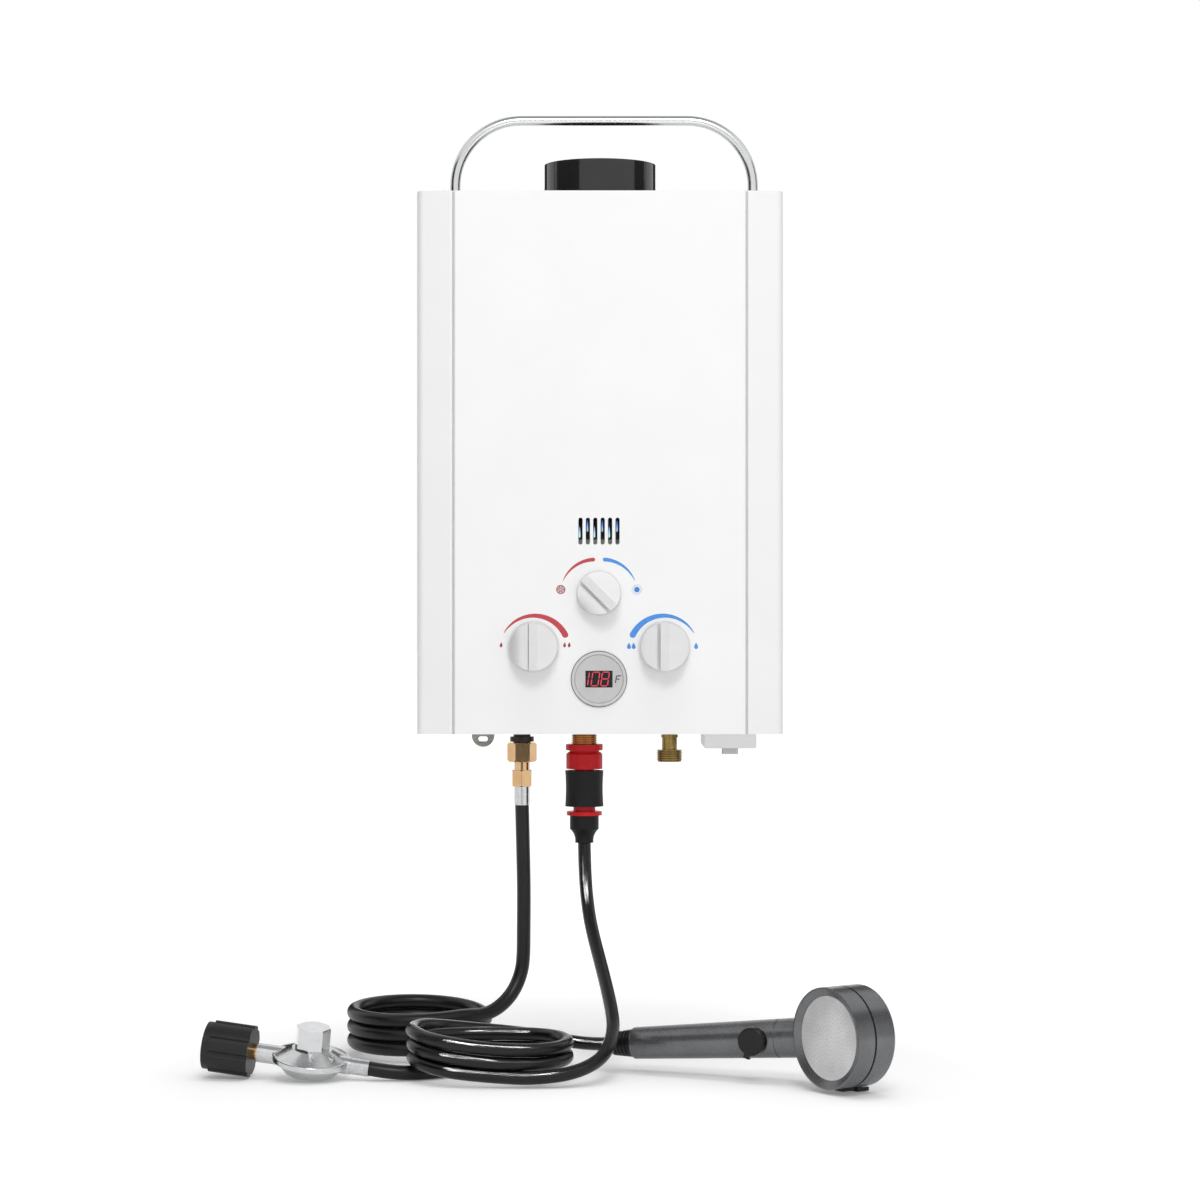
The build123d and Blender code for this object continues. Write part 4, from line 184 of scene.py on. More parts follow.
METAL = {"Metallic": 1.0}
PLASTIC = {"IOR": 1.46}
LACQUER = {"IOR": 1.5}
finishes = {
    # Polyester powder coat on steel: nearly even white, with a soft orange peel that only a highlight shows.
    "front_panel_enamel": finish("powder_coat_white", "#F5F5F5", "#F7F7F7", 60, (0.30, 0.38), 1.6, 4,
                                 LACQUER),
    # The same white coat on the folded sides, with painted shade that makes it one tone greyer.
    "side_panel_enamel": finish("powder_coat_white_shaded", "#F1F1F1", "#F3F3F3", 60, (0.32, 0.40), 1.6, 4,
                                LACQUER),
    # Hot-dip galvanised sheet: grey spangle in patches a finger's width across.
    "galvanised_sheet": finish("galvanised_steel", "#8B8B86", "#A3A39E", 9, (0.38, 0.52), 3, 6, METAL),
    # Bright zinc plating, slightly cloudy.
    "screw_steel": finish("zinc_plated_steel", "#B9BABA", "#D2D3D3", 4, (0.22, 0.34), 0.8, 1, METAL),
    # Polished chrome on a drawn tube: an even mirror, clouded a little along the tube.
    "handle_chrome": finish("polished_chrome", "#CFD0D1", "#D8D9DA", 30, (0.18, 0.22), 4, 0.1, METAL,
                            (0.2, 1.0, 1.0)),
    # Vitreous enamel, black and glossy, with a faint ripple from firing.
    "flue_black": finish("black_vitreous_enamel", "#1D1D1E", "#232324", 25, (0.08, 0.12), 9, 3,
                         {"IOR": 1.52}),
    # ABS sprayed with silver lacquer: fine flake, satin.
    "knob_silver": finish("silver_lacquered_abs", "#DCDCDC", "#E0E0E0", 12, (0.32, 0.36), 0.5, 0.1,
                          {"IOR": 1.5, "Metallic": 0.5}),
    # ABS with a bright silver lacquer under varnish.
    "bezel_silver": finish("varnished_silver_abs", "#D2D2D2", "#D9D9D9", 8, (0.2, 0.24), 1.2, 0.1,
                           {"IOR": 1.5, "Metallic": 0.3}),
    # Satin grey ABS with the fine spark texture of its mould.
    "display_face_grey": finish("satin_grey_abs", "#C2C2C2", "#C8C8C8", 10, (0.42, 0.5), 0.6, 2, PLASTIC),
    # Smoked acrylic: dark and glossy.
    "display_window": finish("smoked_acrylic", "#2A2A2B", "#333334", 6, (0.08, 0.14), 2, 0.5,
                             {"IOR": 1.49}),
    # White ABS, moulded glossy.
    "battery_plastic": finish("white_abs", "#F7F7F7", "#FAFAFA", 30, (0.28, 0.34), 1.0, 2, PLASTIC),
    # Pale grey ABS.
    "latch_plastic": finish("pale_grey_abs", "#BEBEBE", "#C8C8C8", 10, (0.32, 0.4), 1.0, 2, PLASTIC),
    # Plastic film jacket shrunk on a steel can.
    "cell_jacket": finish("shrunk_pvc_film", "#25262B", "#33353C", 12, (0.2, 0.3), 2, 4, PLASTIC),
    # Stainless steel tinted straw and brown by the flame.
    "burner_steel": finish("heat_tinted_stainless", "#6E6253", "#8E8A84", 14, (0.34, 0.5), 1.5, 3, METAL),
    # Die-cast aluminium as it leaves the die: grey and matt with flow marks.
    "cast_aluminium": finish("die_cast_aluminium", "#8C8D8E", "#A5A6A7", 10, (0.42, 0.55), 1.2, 12, METAL),
    # Glazed alumina.
    "electrode_ceramic": finish("glazed_alumina", "#DCD8CE", "#E9E6DE", 6, (0.15, 0.22), 1.5, 3,
                                {"IOR": 1.6}),
    # Bare copper with brown oxide patches.
    "copper": finish("oxidised_copper", "#8E5238", "#BE7650", 16, (0.28, 0.42), 1.2, 4, METAL),
    # Black glass-filled nylon.
    "component_plastic": finish("black_nylon", "#161617", "#202021", 8, (0.45, 0.55), 0.7, 6, PLASTIC),
    # Machined brass, left bare: bright, with the faintest tarnish.
    "brass": finish("machined_brass", "#C7A174", "#D4B285", 12, (0.08, 0.13), 0.6, 0.4, METAL),
    # Blackened steel nipple.
    "gas_inlet_finish": finish("blackened_steel", "#2B2624", "#3B3431", 5, (0.32, 0.45), 0.8, 2,
                               {"Metallic": 0.8}),
    # Older, darker brass on the water inlet, with painted shade in the roots of its thread.
    "cold_inlet_finish": finish("tarnished_brass", "#88743F", "#9E8552", 7, (0.24, 0.34), 0.7, 1, METAL,
                                shade=thread_grooves(COLD_THREAD_TOP)),
    # Brass turned orange-brown by hot water, with painted shade in the roots of its thread.
    "hot_outlet_finish": finish("heat_browned_brass", "#B06C38", "#C27C45", 5, (0.28, 0.38), 0.7, 1, METAL,
                                shade=thread_grooves(CASING_BOTTOM)),
    # Extruded synthetic rubber: satin black, a little talc in its skin.
    "gas_hose_rubber": finish("extruded_rubber", "#111112", "#171718", 18, (0.28, 0.36), 1.2, 3,
                              {"Specular IOR Level": 0.3}),
    # Crimped steel sleeve, bright plated.
    "ferrule_steel": finish("crimped_plated_steel", "#BEBFC0", "#CECFD0", 4, (0.12, 0.2), 1.0, 1.5, METAL),
    # Die-cast zinc, tumbled bright.
    "regulator_zinc": finish("tumbled_die_cast_zinc", "#C6C7C8", "#D6D7D8", 9, (0.18, 0.28), 1.4, 2, METAL),
    # The same zinc polished on the adjusting cap.
    "regulator_cap_zinc": finish("polished_zinc", "#D2D3D4", "#DDDEDF", 8, (0.1, 0.16), 1.6, 0.5, METAL),
    # Black polypropylene of the hand nut.
    "nut_plastic": finish("black_polypropylene", "#161617", "#1D1D1E", 8, (0.36, 0.44), 0.8, 3,
                          {"Specular IOR Level": 0.35}),
    # Red acetal of the hose coupling.
    "coupling_red": finish("red_acetal", "#BE0F18", "#C8171F", 10, (0.3, 0.38), 0.8, 3,
                           {"Specular IOR Level": 0.25}),
    # Black glass-filled nylon of the coupling's sleeve: a matt spark texture.
    "coupling_black": finish("spark_textured_nylon", "#131314", "#181819", 8, (0.46, 0.56), 0.6, 3,
                             {"Specular IOR Level": 0.2}),
    # Clear PVC sheath over black braid: a sharp gloss that the braid breaks into dashes, drawn twice its
    # real size.
    "shower_hose_pvc": finish("pvc_over_braid", "#0A0A0B", "#101011", 14, (0.04, 0.08), 2.4, 12,
                              {"Specular IOR Level": 0.35}, relief=braid(8, 260)),
    # Black ABS trim of the hand shower.
    "black_fitting": finish("black_abs", "#101011", "#171718", 8, (0.26, 0.34), 0.8, 2,
                            {"Specular IOR Level": 0.3}),
    # Gunmetal lacquer over ABS: satin with very fine flake.
    "gunmetal": finish("gunmetal_lacquer", "#6B6C6E", "#737476", 14, (0.24, 0.3), 0.5, 0.6,
                       {"IOR": 1.5, "Metallic": 0.75}),
    # Thin stainless plate, spun and finely perforated.
    "spray_plate_silver": finish("spun_stainless", "#C6C6C6", "#ECECEC", 34, (0.3, 0.38), 1.0, 1,
                                 {"Metallic": 0.4}),
}
for part in frame["record"]["subparts"]:
    frame["nodes"][part["node"]].material_slots[0].material = finishes[part["material_slot"]]


def ink(name, hex_colour):
    """Screen-printing ink: the given colour, and thinner in places by the mesh of the screen, which is drawn
    0.5 mm apart, coarse enough to see."""
    rgb = [int(hex_colour[i:i + 2], 16) for i in (1, 3, 5)]
    darker = "#" + "".join(f"{round(value * THIN_INK):02X}" for value in rgb)
    return finish(name, darker, hex_colour, 1.5, (0.36, 0.44), 0.5, 2, LACQUER)


red_ink = ink("red_screen_ink", "#C8434F")
blue_ink = ink("blue_screen_ink", "#4C97EA")
white_ink = ink("white_screen_ink", "#F4E9EA")
deep_red_ink = ink("deep_red_screen_ink", "#A52E3B")
deep_blue_ink = ink("deep_blue_screen_ink", "#3F86DA")
grey_ink = ink("grey_screen_ink", "#585858")


# ---------------------------------------------------------------- surfaces

def surface(name, grids, material):
    """One mesh that rides on the heater, from grids of points in mm, each (rows, columns, 3). Neighbours are
    joined by quads, the last column meets the first, and points that fall together are merged, which closes
    the poles."""
    faces, first = [], 0
    for grid in grids:
        index = first + np.arange(grid.shape[0] * grid.shape[1]).reshape(grid.shape[:2])
        index = np.hstack([index, index[:, :1]])
        quads = np.stack([index[:-1, :-1], index[1:, :-1], index[1:, 1:], index[:-1, 1:]], -1)
        faces.append(quads.reshape(-1, 4))
        first += grid.shape[0] * grid.shape[1]
    mesh = bpy.data.meshes.new(name)
    mesh.from_pydata(np.concatenate([g.reshape(-1, 3) for g in grids]) / 1000, [], np.concatenate(faces))
    weld = bmesh.new()
    weld.from_mesh(mesh)
    bmesh.ops.remove_doubles(weld, verts=weld.verts, dist=1e-6)
    weld.to_mesh(mesh)
    weld.free()
    mesh.shade_smooth()
    mesh.set_sharp_from_angle(angle=math.radians(CREASE_DEG))
    mesh.materials.append(material)
    piece = bpy.data.objects.new(name, mesh)
    bpy.context.scene.collection.objects.link(piece)
    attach(piece, "heater")


def strip(line, half_width, y, lift):
    """A flat mark as one grid: at each point of line (n, 2), X and Z in mm, a bar from minus to plus
    half_width across the line, and from the plane y to lift in front of it. Each end closes on the line
    itself."""
    along = np.gradient(line, axis=0)
    across = np.stack([-along[:, 1], along[:, 0]], 1) / np.linalg.norm(along, axis=1)[:, None]
    edge = np.broadcast_to(half_width, len(line))[:, None] * across
    corners = [(line - edge, y - lift), (line + edge, y - lift), (line + edge, y), (line - edge, y)]
    rows = np.stack([np.stack([xz[:, 0], np.full(len(xz), depth), xz[:, 1]], 1) for xz, depth in corners], 1)
    middle = rows.mean(1, keepdims=True)
    return np.concatenate([middle[:1].repeat(4, 1), rows, middle[-1:].repeat(4, 1)])


def arc_mark(centre, radius, thin_deg, thick_deg, width):
    """A curved wedge: its middle runs on a circle from thin_deg to thick_deg, its width grows as the 0.6
    power of the way along, and its thick end is a half circle."""
    step = np.linspace(0, 1, 60)
    end = width / 2 / radius / abs(math.radians(thick_deg - thin_deg))
    tip = np.linspace(1, 1 + end, 12)[1:]
    way = np.concatenate([step, tip])
    half = width / 2 * np.concatenate([step ** 0.6, np.sqrt(np.clip(1 - ((tip - 1) / end) ** 2, 0, 1))])
    angle = np.radians(thin_deg + (thick_deg - thin_deg) * way)
    line = np.stack([centre[0] + radius * np.cos(angle), centre[1] + radius * np.sin(angle)], 1)
    return strip(line, half, FRONT_Y, INK_LIFT)


def drop_mark(centre, width, height, sway=0.0):
    """A drop: half width = sin(pi t)^0.5 * (1 - t)^0.7 scaled to width, for t from foot to tip; sway bends
    the tip to one side as t squared, as in a flame."""
    t = np.linspace(0, 1, 30)
    half = np.sqrt(np.clip(np.sin(np.pi * t), 0, 1)) * (1 - t) ** 0.7
    line = np.stack([centre[0] + sway * t ** 2, centre[1] + height * (t - 0.45)], 1)
    return strip(line, half / half.max() * width / 2, FRONT_Y, INK_LIFT)


def disc_mark(centre, radius, points=24):
    """A disc: half width is the root of radius squared less height squared."""
    height = -radius * np.cos(np.linspace(0, np.pi, points))
    line = np.stack([np.full(points, centre[0]), centre[1] + height], 1)
    return strip(line, np.sqrt(np.clip(radius ** 2 - height ** 2, 0, None)), FRONT_Y, INK_LIFT)


def bar_mark(start, end, width, y=FRONT_Y, lift=INK_LIFT):
    """A straight bar whose ends narrow to a point over half its width, as a display's segment does."""
    start, end = np.array(start, float), np.array(end, float)
    length = np.linalg.norm(end - start)
    way = np.array([0, width / 2, length - width / 2, length]) / length
    return strip(start + way[:, None] * (end - start), width / 2 * np.array([0.1, 1, 1, 0.1]), y, lift)


def lathe(profile, centre, axis, columns=48):
    """A turned shape: profile is (n, 2), radius and height along axis in mm, carried round the axis."""
    axis = Vector(axis).normalized()
    side = axis.orthogonal().normalized()
    other = axis.cross(side)
    turn = np.linspace(0, 2 * np.pi, columns, endpoint=False)
    ring = np.cos(turn)[:, None] * np.array(side) + np.sin(turn)[:, None] * np.array(other)
    profile = np.array(profile, float)
    return np.array(centre) + profile[:, None, :1] * ring + profile[:, None, 1:] * np.array(axis)


# ---------------------------------------------------------------- hoses

def hose(name, points_mm, diameter_mm, material):
    """A hose as one open NURBS spline of order 3, which follows its control points and touches the first and
    the last of them."""
    curve = bpy.data.curves.new(name, "CURVE")
    curve.dimensions = "3D"
    spline = curve.splines.new("NURBS")
    spline.points.add(len(points_mm) - 1)
    weighted = np.c_[points_mm / 1000, np.ones(len(points_mm))]
    spline.points.foreach_set("co", weighted.astype(np.float32).ravel())
    spline.order_u = 3
    spline.use_endpoint_u = True
    spline.resolution_u = 6
    curve.bevel_depth = diameter_mm / 2000
    curve.bevel_resolution = 6
    curve.use_fill_caps = True
    curve.materials.append(material)
    piece = bpy.data.objects.new(name, curve)
    bpy.context.scene.collection.objects.link(piece)
    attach(piece, "heater")
    return piece


COIL_STEP = 20.0           # degrees from one control point of a coil to the next

gas_drop = [(-63.2, -62.5, -439.8), (-62.4, -61.4, -473.0), (-61.6, -62.0, -508.0), (-61.8, -62.7, -539.0),
            (-62.0, -62.5, -566.2), (-64.8, -64.9, -579.2), (-70.3, -69.5, -590.7), (-78.0, -75.9, -599.3),
            (-87.3, -83.7, -604.9), (-97.2, -92.1, -606.6), (-106.4, -99.8, -605.6)]
gas_tail = [(-92.0, -62.5, -636.1), (-91.5, -92.0, -636.1), (-92.5, -122.0, -636.2),
            (-97.5, -152.0, -636.2), (-109.0, -177.0, -636.2), (-125.0, -194.0, -636.2),
            (-145.0, -203.0, -636.2), (-162.0, -205.6, -634.8), (-176.4, -204.0, -632.6)]
# The gas coil: a circle wound clockwise, which sinks by the hose's thickness on each turn, is tilted a
# little, and lies flat on the floor at last.
GAS_COIL_X, GAS_COIL_Y = -146.0, -62.5
GAS_COIL_R = 54.0
GAS_COIL_HIGH = 39.5       # the hose's middle over the floor where the coil starts, but for the tilt
GAS_COIL_LOW = 5.9         # the least that its middle is over the floor
GAS_TILT = 4.0             # how far the tilt lowers it at GAS_TILT_AT, and raises it on the other side
GAS_TILT_AT = 40           # degrees from the coil's start
GAS_START, GAS_WOUND = -50, 1030           # degrees: where it starts, and how far round its points go
wound = np.arange(COIL_STEP, GAS_WOUND, COIL_STEP)
round_gas = np.radians(GAS_START - wound)
gas_sunk = GAS_COIL_HIGH - GAS_HOSE_D * wound / 360 - GAS_TILT * np.cos(np.radians(wound - GAS_TILT_AT))
gas_coil = np.stack([GAS_COIL_X + GAS_COIL_R * np.cos(round_gas),
                     GAS_COIL_Y + GAS_COIL_R * np.sin(round_gas),
                     FLOOR_Z + np.maximum(gas_sunk, GAS_COIL_LOW)], 1)
gas_hose = hose("gas_hose", np.concatenate([gas_drop, gas_coil, gas_tail]), GAS_HOSE_D,
                finishes["gas_hose_rubber"])
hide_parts("gas_hose_drop", "gas_hose_coil", "gas_hose_tail")

shower_drop = [(-12.7, -62.5, -470.2), (-12.3, -67.0, -496.2), (-9.3, -84.0, -524.5),
               (-5.3, -102.0, -541.9), (-0.2, -121.0, -558.9), (4.7, -142.0, -575.7),
               (8.9, -165.0, -591.8), (10.7, -188.0, -603.7), (6.9, -209.0, -615.7),
               (-1.5, -224.0, -624.6), (-19.6, -236.0, -631.2), (-41.5, -241.0, -633.8),
               (-62.5, -241.0, -634.5)]
shower_tail = [(-144.3, -200.0, -603.2), (-143.2, -184.0, -603.4), (-136.0, -168.5, -603.7),
               (-122.0, -155.0, -606.5), (-101.0, -147.5, -609.4), (-76.0, -142.5, -612.4),
               (-52.0, -138.8, -615.4), (-30.1, -136.5, -620.0), (-14.0, -140.7, -621.8),
               (0.3, -147.4, -621.7), (11.6, -152.7, -620.6)]
# The shower coil: an ellipse on a base that rises to the left and to the back. Each turn lies on the last
# and climbs onto it on its way round the back, from 150 to 270 degrees of it, as 3 c^2 - 2 c^3 of the way.
SHOWER_COIL_X, SHOWER_COIL_Y = -84.3, -200.0
SHOWER_COIL_RX, SHOWER_COIL_RY = 60.0, 41.0
SHOWER_COIL_LIFT = 5.3     # the first turn's middle over the base
BASE_RISE = 7.9            # the base's height at the ellipse's middle
TURN_RISE = 10.6
SHOWER_START, SHOWER_WOUND = -90, 810      # degrees, as for the gas coil
wound = np.arange(COIL_STEP, SHOWER_WOUND, COIL_STEP)
round_shower = np.radians(SHOWER_START - wound)
across, back = np.cos(round_shower), np.sin(round_shower)
climb = np.clip(((wound % 360) - 150) / 120, 0, 1)
shower_rise = (SHOWER_COIL_LIFT + BASE_RISE * (1 - 0.67 * across + 0.60 * back)
               + TURN_RISE * (wound // 360 + climb ** 2 * (3 - 2 * climb)))
shower_coil = np.stack([SHOWER_COIL_X + SHOWER_COIL_RX * across, SHOWER_COIL_Y + SHOWER_COIL_RY * back,
                        FLOOR_Z + shower_rise], 1)
shower_hose = hose("shower_hose", np.concatenate([shower_drop, shower_coil, shower_tail]), SHOWER_HOSE_D,
                   finishes["shower_hose_pvc"])
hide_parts("shower_hose_drop", "shower_hose_coil", "shower_hose_tail")


# ---------------------------------------------------------------- printed dials

SIDE_ARC_R, SIDE_ARC_WIDTH = 27.5, 4.9
MODE_ARC_R, MODE_ARC_WIDTH = 27.6, 3.1
left_x, right_x = CONTROLS_X - SIDE_KNOB_X, CONTROLS_X + SIDE_KNOB_X
gas_arc = arc_mark((left_x + 0.5, SIDE_KNOB_Z - 3.0), SIDE_ARC_R, 151, 26.8, SIDE_ARC_WIDTH)
water_arc = arc_mark((right_x - 0.5, SIDE_KNOB_Z - 3.0), SIDE_ARC_R, 29, 153.2, SIDE_ARC_WIDTH)
winter_arc = arc_mark((CONTROLS_X - 3.0, MODE_KNOB_Z - 1.1), MODE_ARC_R, 157.5, 93.3, MODE_ARC_WIDTH)
summer_arc = arc_mark((CONTROLS_X + 3.0, MODE_KNOB_Z - 1.1), MODE_ARC_R, 22.5, 86.7, MODE_ARC_WIDTH)
surface("red_dial_arcs", [gas_arc, winter_arc], red_ink)
surface("blue_dial_arcs", [water_arc, summer_arc], blue_ink)

# One flame for little gas and two for much; two drops for much water and one for little.
flames = [drop_mark((left_x + x, SIDE_KNOB_Z + 1.4), 2.1, 4.2, 0.25) for x in (-25.6, 24.6, 28.2)]
surface("flame_icons", flames, deep_red_ink)
drops = [drop_mark((right_x + x, SIDE_KNOB_Z + 0.5), 3.1, 5.2) for x in (-28.1, -24.4, 25.0)]
surface("drop_icons", drops, blue_ink)

# Winter: a white ice crystal on a red disc, three bars across its middle with a fork on each arm.
frost = np.array([CONTROLS_X - 30.2, MODE_KNOB_Z + 2.8])
CRYSTAL_LIFT = 0.12        # the crystal is printed over the disc
surface("frost_disc", [disc_mark(frost, 3.6)], deep_red_ink)
spokes = []
for turn in np.radians([30, 90, 150]):
    reach = np.array([math.cos(turn), math.sin(turn)])
    side = np.array([-reach[1], reach[0]])
    spokes.append(bar_mark(frost - 3.2 * reach, frost + 3.2 * reach, 0.6, lift=CRYSTAL_LIFT))
    for sign in (-1, 1):
        fork = frost + sign * 1.5 * reach
        for lean in (-1, 1):
            fork_tip = fork + sign * 1.2 * reach + lean * 1.1 * side
            spokes.append(bar_mark(fork, fork_tip, 0.45, lift=CRYSTAL_LIFT))
surface("frost_crystal", spokes, white_ink)

# Summer: a sun whose rays are two rings of fourteen dots, the outer ring turned by about half a step.
sun = (CONTROLS_X + 30.0, MODE_KNOB_Z + 2.7)
rays = []
for ring, shift in ((3.1, 0.0), (4.0, 0.22)):
    for turn in np.linspace(0, 2 * np.pi, 14, endpoint=False) + shift:
        dot = (sun[0] + ring * math.cos(turn), sun[1] + ring * math.sin(turn))
        rays.append(disc_mark(dot, 0.28, points=9))
surface("sun_icon", [disc_mark(sun, 2.2)] + rays, deep_blue_ink)


# ---------------------------------------------------------------- display

DIGIT_WIDTH = 5.5
DIGIT_HEIGHT = 10.8
DIGIT_SLANT = 0.15         # to the right for each mm of height
STROKE = 0.78
# Both ends of each segment, in digit widths to the right and half digit heights up.
SEGMENTS = {"a": ((0, 2), (1, 2)), "b": ((1, 1), (1, 2)), "c": ((1, 0), (1, 1)), "d": ((0, 0), (1, 0)),
            "e": ((0, 0), (0, 1)), "f": ((0, 1), (0, 2)), "g": ((0, 1), (1, 1))}


def digit(left, bottom, segments):
    """Seven-segment strokes in a slanted box: a point of the box at (u, v) is at left + u + slant * v and
    bottom + v, and a stroke stops 0.42 of its width short of each end."""
    bars = []
    for segment in segments:
        ends = [np.array([u * DIGIT_WIDTH, v * DIGIT_HEIGHT / 2]) for u, v in SEGMENTS[segment]]
        gap = (ends[1] - ends[0]) / np.linalg.norm(ends[1] - ends[0]) * STROKE * 0.42
        slanted = [(left + u + DIGIT_SLANT * v, bottom + v) for u, v in (ends[0] + gap, ends[1] - gap)]
        bars.append(bar_mark(*slanted, STROKE, y=WINDOW_Y, lift=0.1))
    return bars


digits_z = DISPLAY_Z - 5.3
reading = (digit(CONTROLS_X - 14.6, digits_z, "bc") + digit(CONTROLS_X - 6.4, digits_z, "abcdef")
           + digit(CONTROLS_X + 1.2, digits_z, "abcdefg"))
# Red light-emitting segments in the window: an even red, lit only a little.
lit = finish("lit_red_segment", "#D13A4C", "#E0485A", 2, (0.3, 0.36), 0.6, 1,
             {"Emission Color": linear("#E0384C"), "Emission Strength": 0.35})
surface("display_digits", reading, lit)

f_left, f_low = CONTROLS_X + 12.9, DISPLAY_Z - 3.3
letter = [bar_mark((f_left, f_low), (f_left + 1.1, f_low + 6.1), 1.0, y=DISPLAY_FACE_Y),
          bar_mark((f_left + 0.9, f_low + 5.9), (f_left + 4.6, f_low + 5.9), 1.0, y=DISPLAY_FACE_Y),
          bar_mark((f_left + 0.6, f_low + 3.3), (f_left + 3.5, f_low + 3.2), 0.95, y=DISPLAY_FACE_Y)]
surface("degrees_letter", letter, grey_ink)


# ---------------------------------------------------------------- flames behind the slots

# A gas flame: pale cyan at its foot and blue 13 mm higher up, with a flicker FLICKER_MM across.
FLICKER_MM = 4.0
flame, tree = bare_material("gas_flame")
place = add(tree, "TexCoord").outputs["Object"]
height = add(tree, "SeparateXYZ", {0: place}).outputs[2]
way_up = add(tree, "MapRange", {"Value": height, "From Min": (SLOTS_Z - 5.2) / 1000,
                                "From Max": (SLOTS_Z + 7.8) / 1000}).outputs[0]
flicker = add(tree, "TexNoise", {"Vector": place, "Scale": 1000 / FLICKER_MM}).outputs[0]
unsteady = add(tree, "Math", {0: flicker, 1: 0.2}, operation="MULTIPLY").outputs[0]
blue_share = add(tree, "Math", {0: way_up, 1: unsteady}, operation="ADD", use_clamp=True).outputs[0]
glow = add(tree, "Mix", {0: blue_share, 6: linear("#D2FFF4"), 7: linear("#4F86E8")},
           data_type="RGBA").outputs[2]
burning = add(tree, "BsdfPrincipled", {"Base Color": (0, 0, 0, 1), "Roughness": 0.9, "Emission Color": glow,
                                       "Emission Strength": 1.1})
add(tree, "OutputMaterial", {"Surface": burning.outputs[0]})

# The flames are about 9 mm tall, and in every second slot one stands 5 mm higher than in the others.
# Their half width is 0.75 sin(pi (0.12 + 0.88 t))^0.5 (1 - 0.55 t), for t from foot to tip.
tongues = []
t = np.linspace(0, 1, 16)
tongue_half = 0.75 * np.sqrt(np.sin(np.pi * (0.12 + 0.88 * t)).clip(0, 1)) * (1 - 0.55 * t)
for slot_number in range(6):
    high = slot_number % 2
    x = CONTROLS_X + (slot_number - 2.5) * SLOT_PITCH - (0.35 if high else 0.7)
    foot, tip = (SLOTS_Z - 0.3, SLOTS_Z + 8.6) if high else (SLOTS_Z - 5.0, SLOTS_Z + 3.8)
    line = np.stack([np.full(len(t), x), foot + (tip - foot) * t], 1)
    tongues.append(strip(line, tongue_half, FLAMES_Y, 0.5))
surface("burner_flames", tongues, flame)


# ---------------------------------------------------------------- hand shower and regulator details

# Nine rings of spray holes, six more holes in each ring than in the one inside it.
UPWARD = (0.0, 0.0, 1.0)
PLATE_DEPTH = 3.1          # the plate lies this deep in the rim
HOLE_PITCH = 3.1           # from ring to ring
HOLE_R = 0.30
face = np.array([167.8, -272.0, -600.2])
face_normal = np.array([-0.807, -0.591, 0.0]) / math.hypot(0.807, 0.591)
face_side = np.cross(UPWARD, face_normal)
plate = face - PLATE_DEPTH * face_normal
hole = [(HOLE_R, -0.1), (HOLE_R, 0.04), (0.0, 0.04)]
holes = []
for ring in range(1, 10):
    for turn in np.linspace(0, 2 * np.pi, 6 * ring, endpoint=False) + 0.3 * ring:
        outward = math.cos(turn) * face_side + math.sin(turn) * np.array(UPWARD)
        holes.append(lathe(hole, plate + HOLE_PITCH * ring * outward, face_normal, columns=8))
# The dark inside of a hole, greyed by the bright steel round it.
dark_hole = finish("hole_shadow", "#8A8A8A", "#989898", 3, (0.5, 0.6), 1.0, 1, PLASTIC)
surface("spray_holes", holes, dark_hole)

# The regulator's own directions: line_dir along it from the hose's end, up_dir out of its round body.
yaw, pitch, roll = math.radians(8), math.radians(7), math.radians(10)
line_dir = Vector((-math.cos(yaw) * math.cos(pitch), math.sin(yaw) * math.cos(pitch), math.sin(pitch)))
front_dir = Vector(UPWARD).cross(line_dir).normalized()
up_dir = line_dir.cross(front_dir) * math.cos(roll) + front_dir * math.sin(roll)
disc_middle = Vector(gas_tail[-1]) + line_dir * 46
# A vent boss on the bonnet's slope, 21 mm out, with a hole in its middle.
vent_turn = math.radians(32)
vent_way = -line_dir * math.cos(vent_turn) - line_dir.cross(up_dir) * math.sin(vent_turn)
vent_way.normalize()
vent_middle = disc_middle + up_dir * 7.2 + vent_way * 21.2
vent = [(3.0, -1.0), (3.0, 1.1), (2.5, 1.6), (1.5, 1.6), (1.2, 1.2), (1.2, -0.6), (0.0, -0.6)]
surface("bonnet_vent", [lathe(vent, vent_middle, up_dir * 0.9 + vent_way * 0.43, columns=24)],
        finishes["regulator_zinc"])

# The shower's neck: a collar that carries the grip on for 9 mm at its own radius, and a soft black boot in
# two waves, radius 10 + 0.5 cos(4 pi t), from it to the head.
GRIP_LENGTH = 132.5
BOOT_START, BOOT_END = 8.9, 18.0
BOOT_INNER_R = 7.02        # close round the neck
grip_way = Vector((0.904, -0.427, 0.089)).normalized()
grip_end = Vector((27.0, -160.0, -619.1)) + grip_way * GRIP_LENGTH
collar = [(7.0, -1.7), (15.0, -1.7), (15.12, -1.6), (15.12, 8.2), (14.3, 9.0), (7.0, 9.0)]
surface("neck_collar", [lathe(collar, grip_end, grip_way, 64)], finishes["gunmetal"])
t = np.linspace(0, 1, 33)
boot = np.stack([10.0 + 0.5 * np.cos(2 * np.pi * 2 * t), BOOT_START + (BOOT_END - BOOT_START) * t], 1)
boot = np.concatenate([[(BOOT_INNER_R, BOOT_START)], boot, [(BOOT_INNER_R, BOOT_END)]])
surface("neck_boot", [lathe(boot, grip_end, grip_way)], finishes["black_fitting"])

# Painted shade in each seam between the front panel and the side panels: a grey strip 1.1 mm wide, with
# its face 0.9 mm deep in it, even and matt, standing in for the seam's shadow.
seams = [strip(np.array([(x, CASING_BOTTOM + 0.5), (x, SEAM_SHADE_TOP)]), 0.55, FRONT_Y + 1.9, 1.0)
         for x in (-SEAM_X, SEAM_X)]
surface("seam_seals", seams, finish("seam_shadow", "#C2C2C2", "#CCCCCC", 6, (0.5, 0.6), 0.8, 2, PLASTIC))


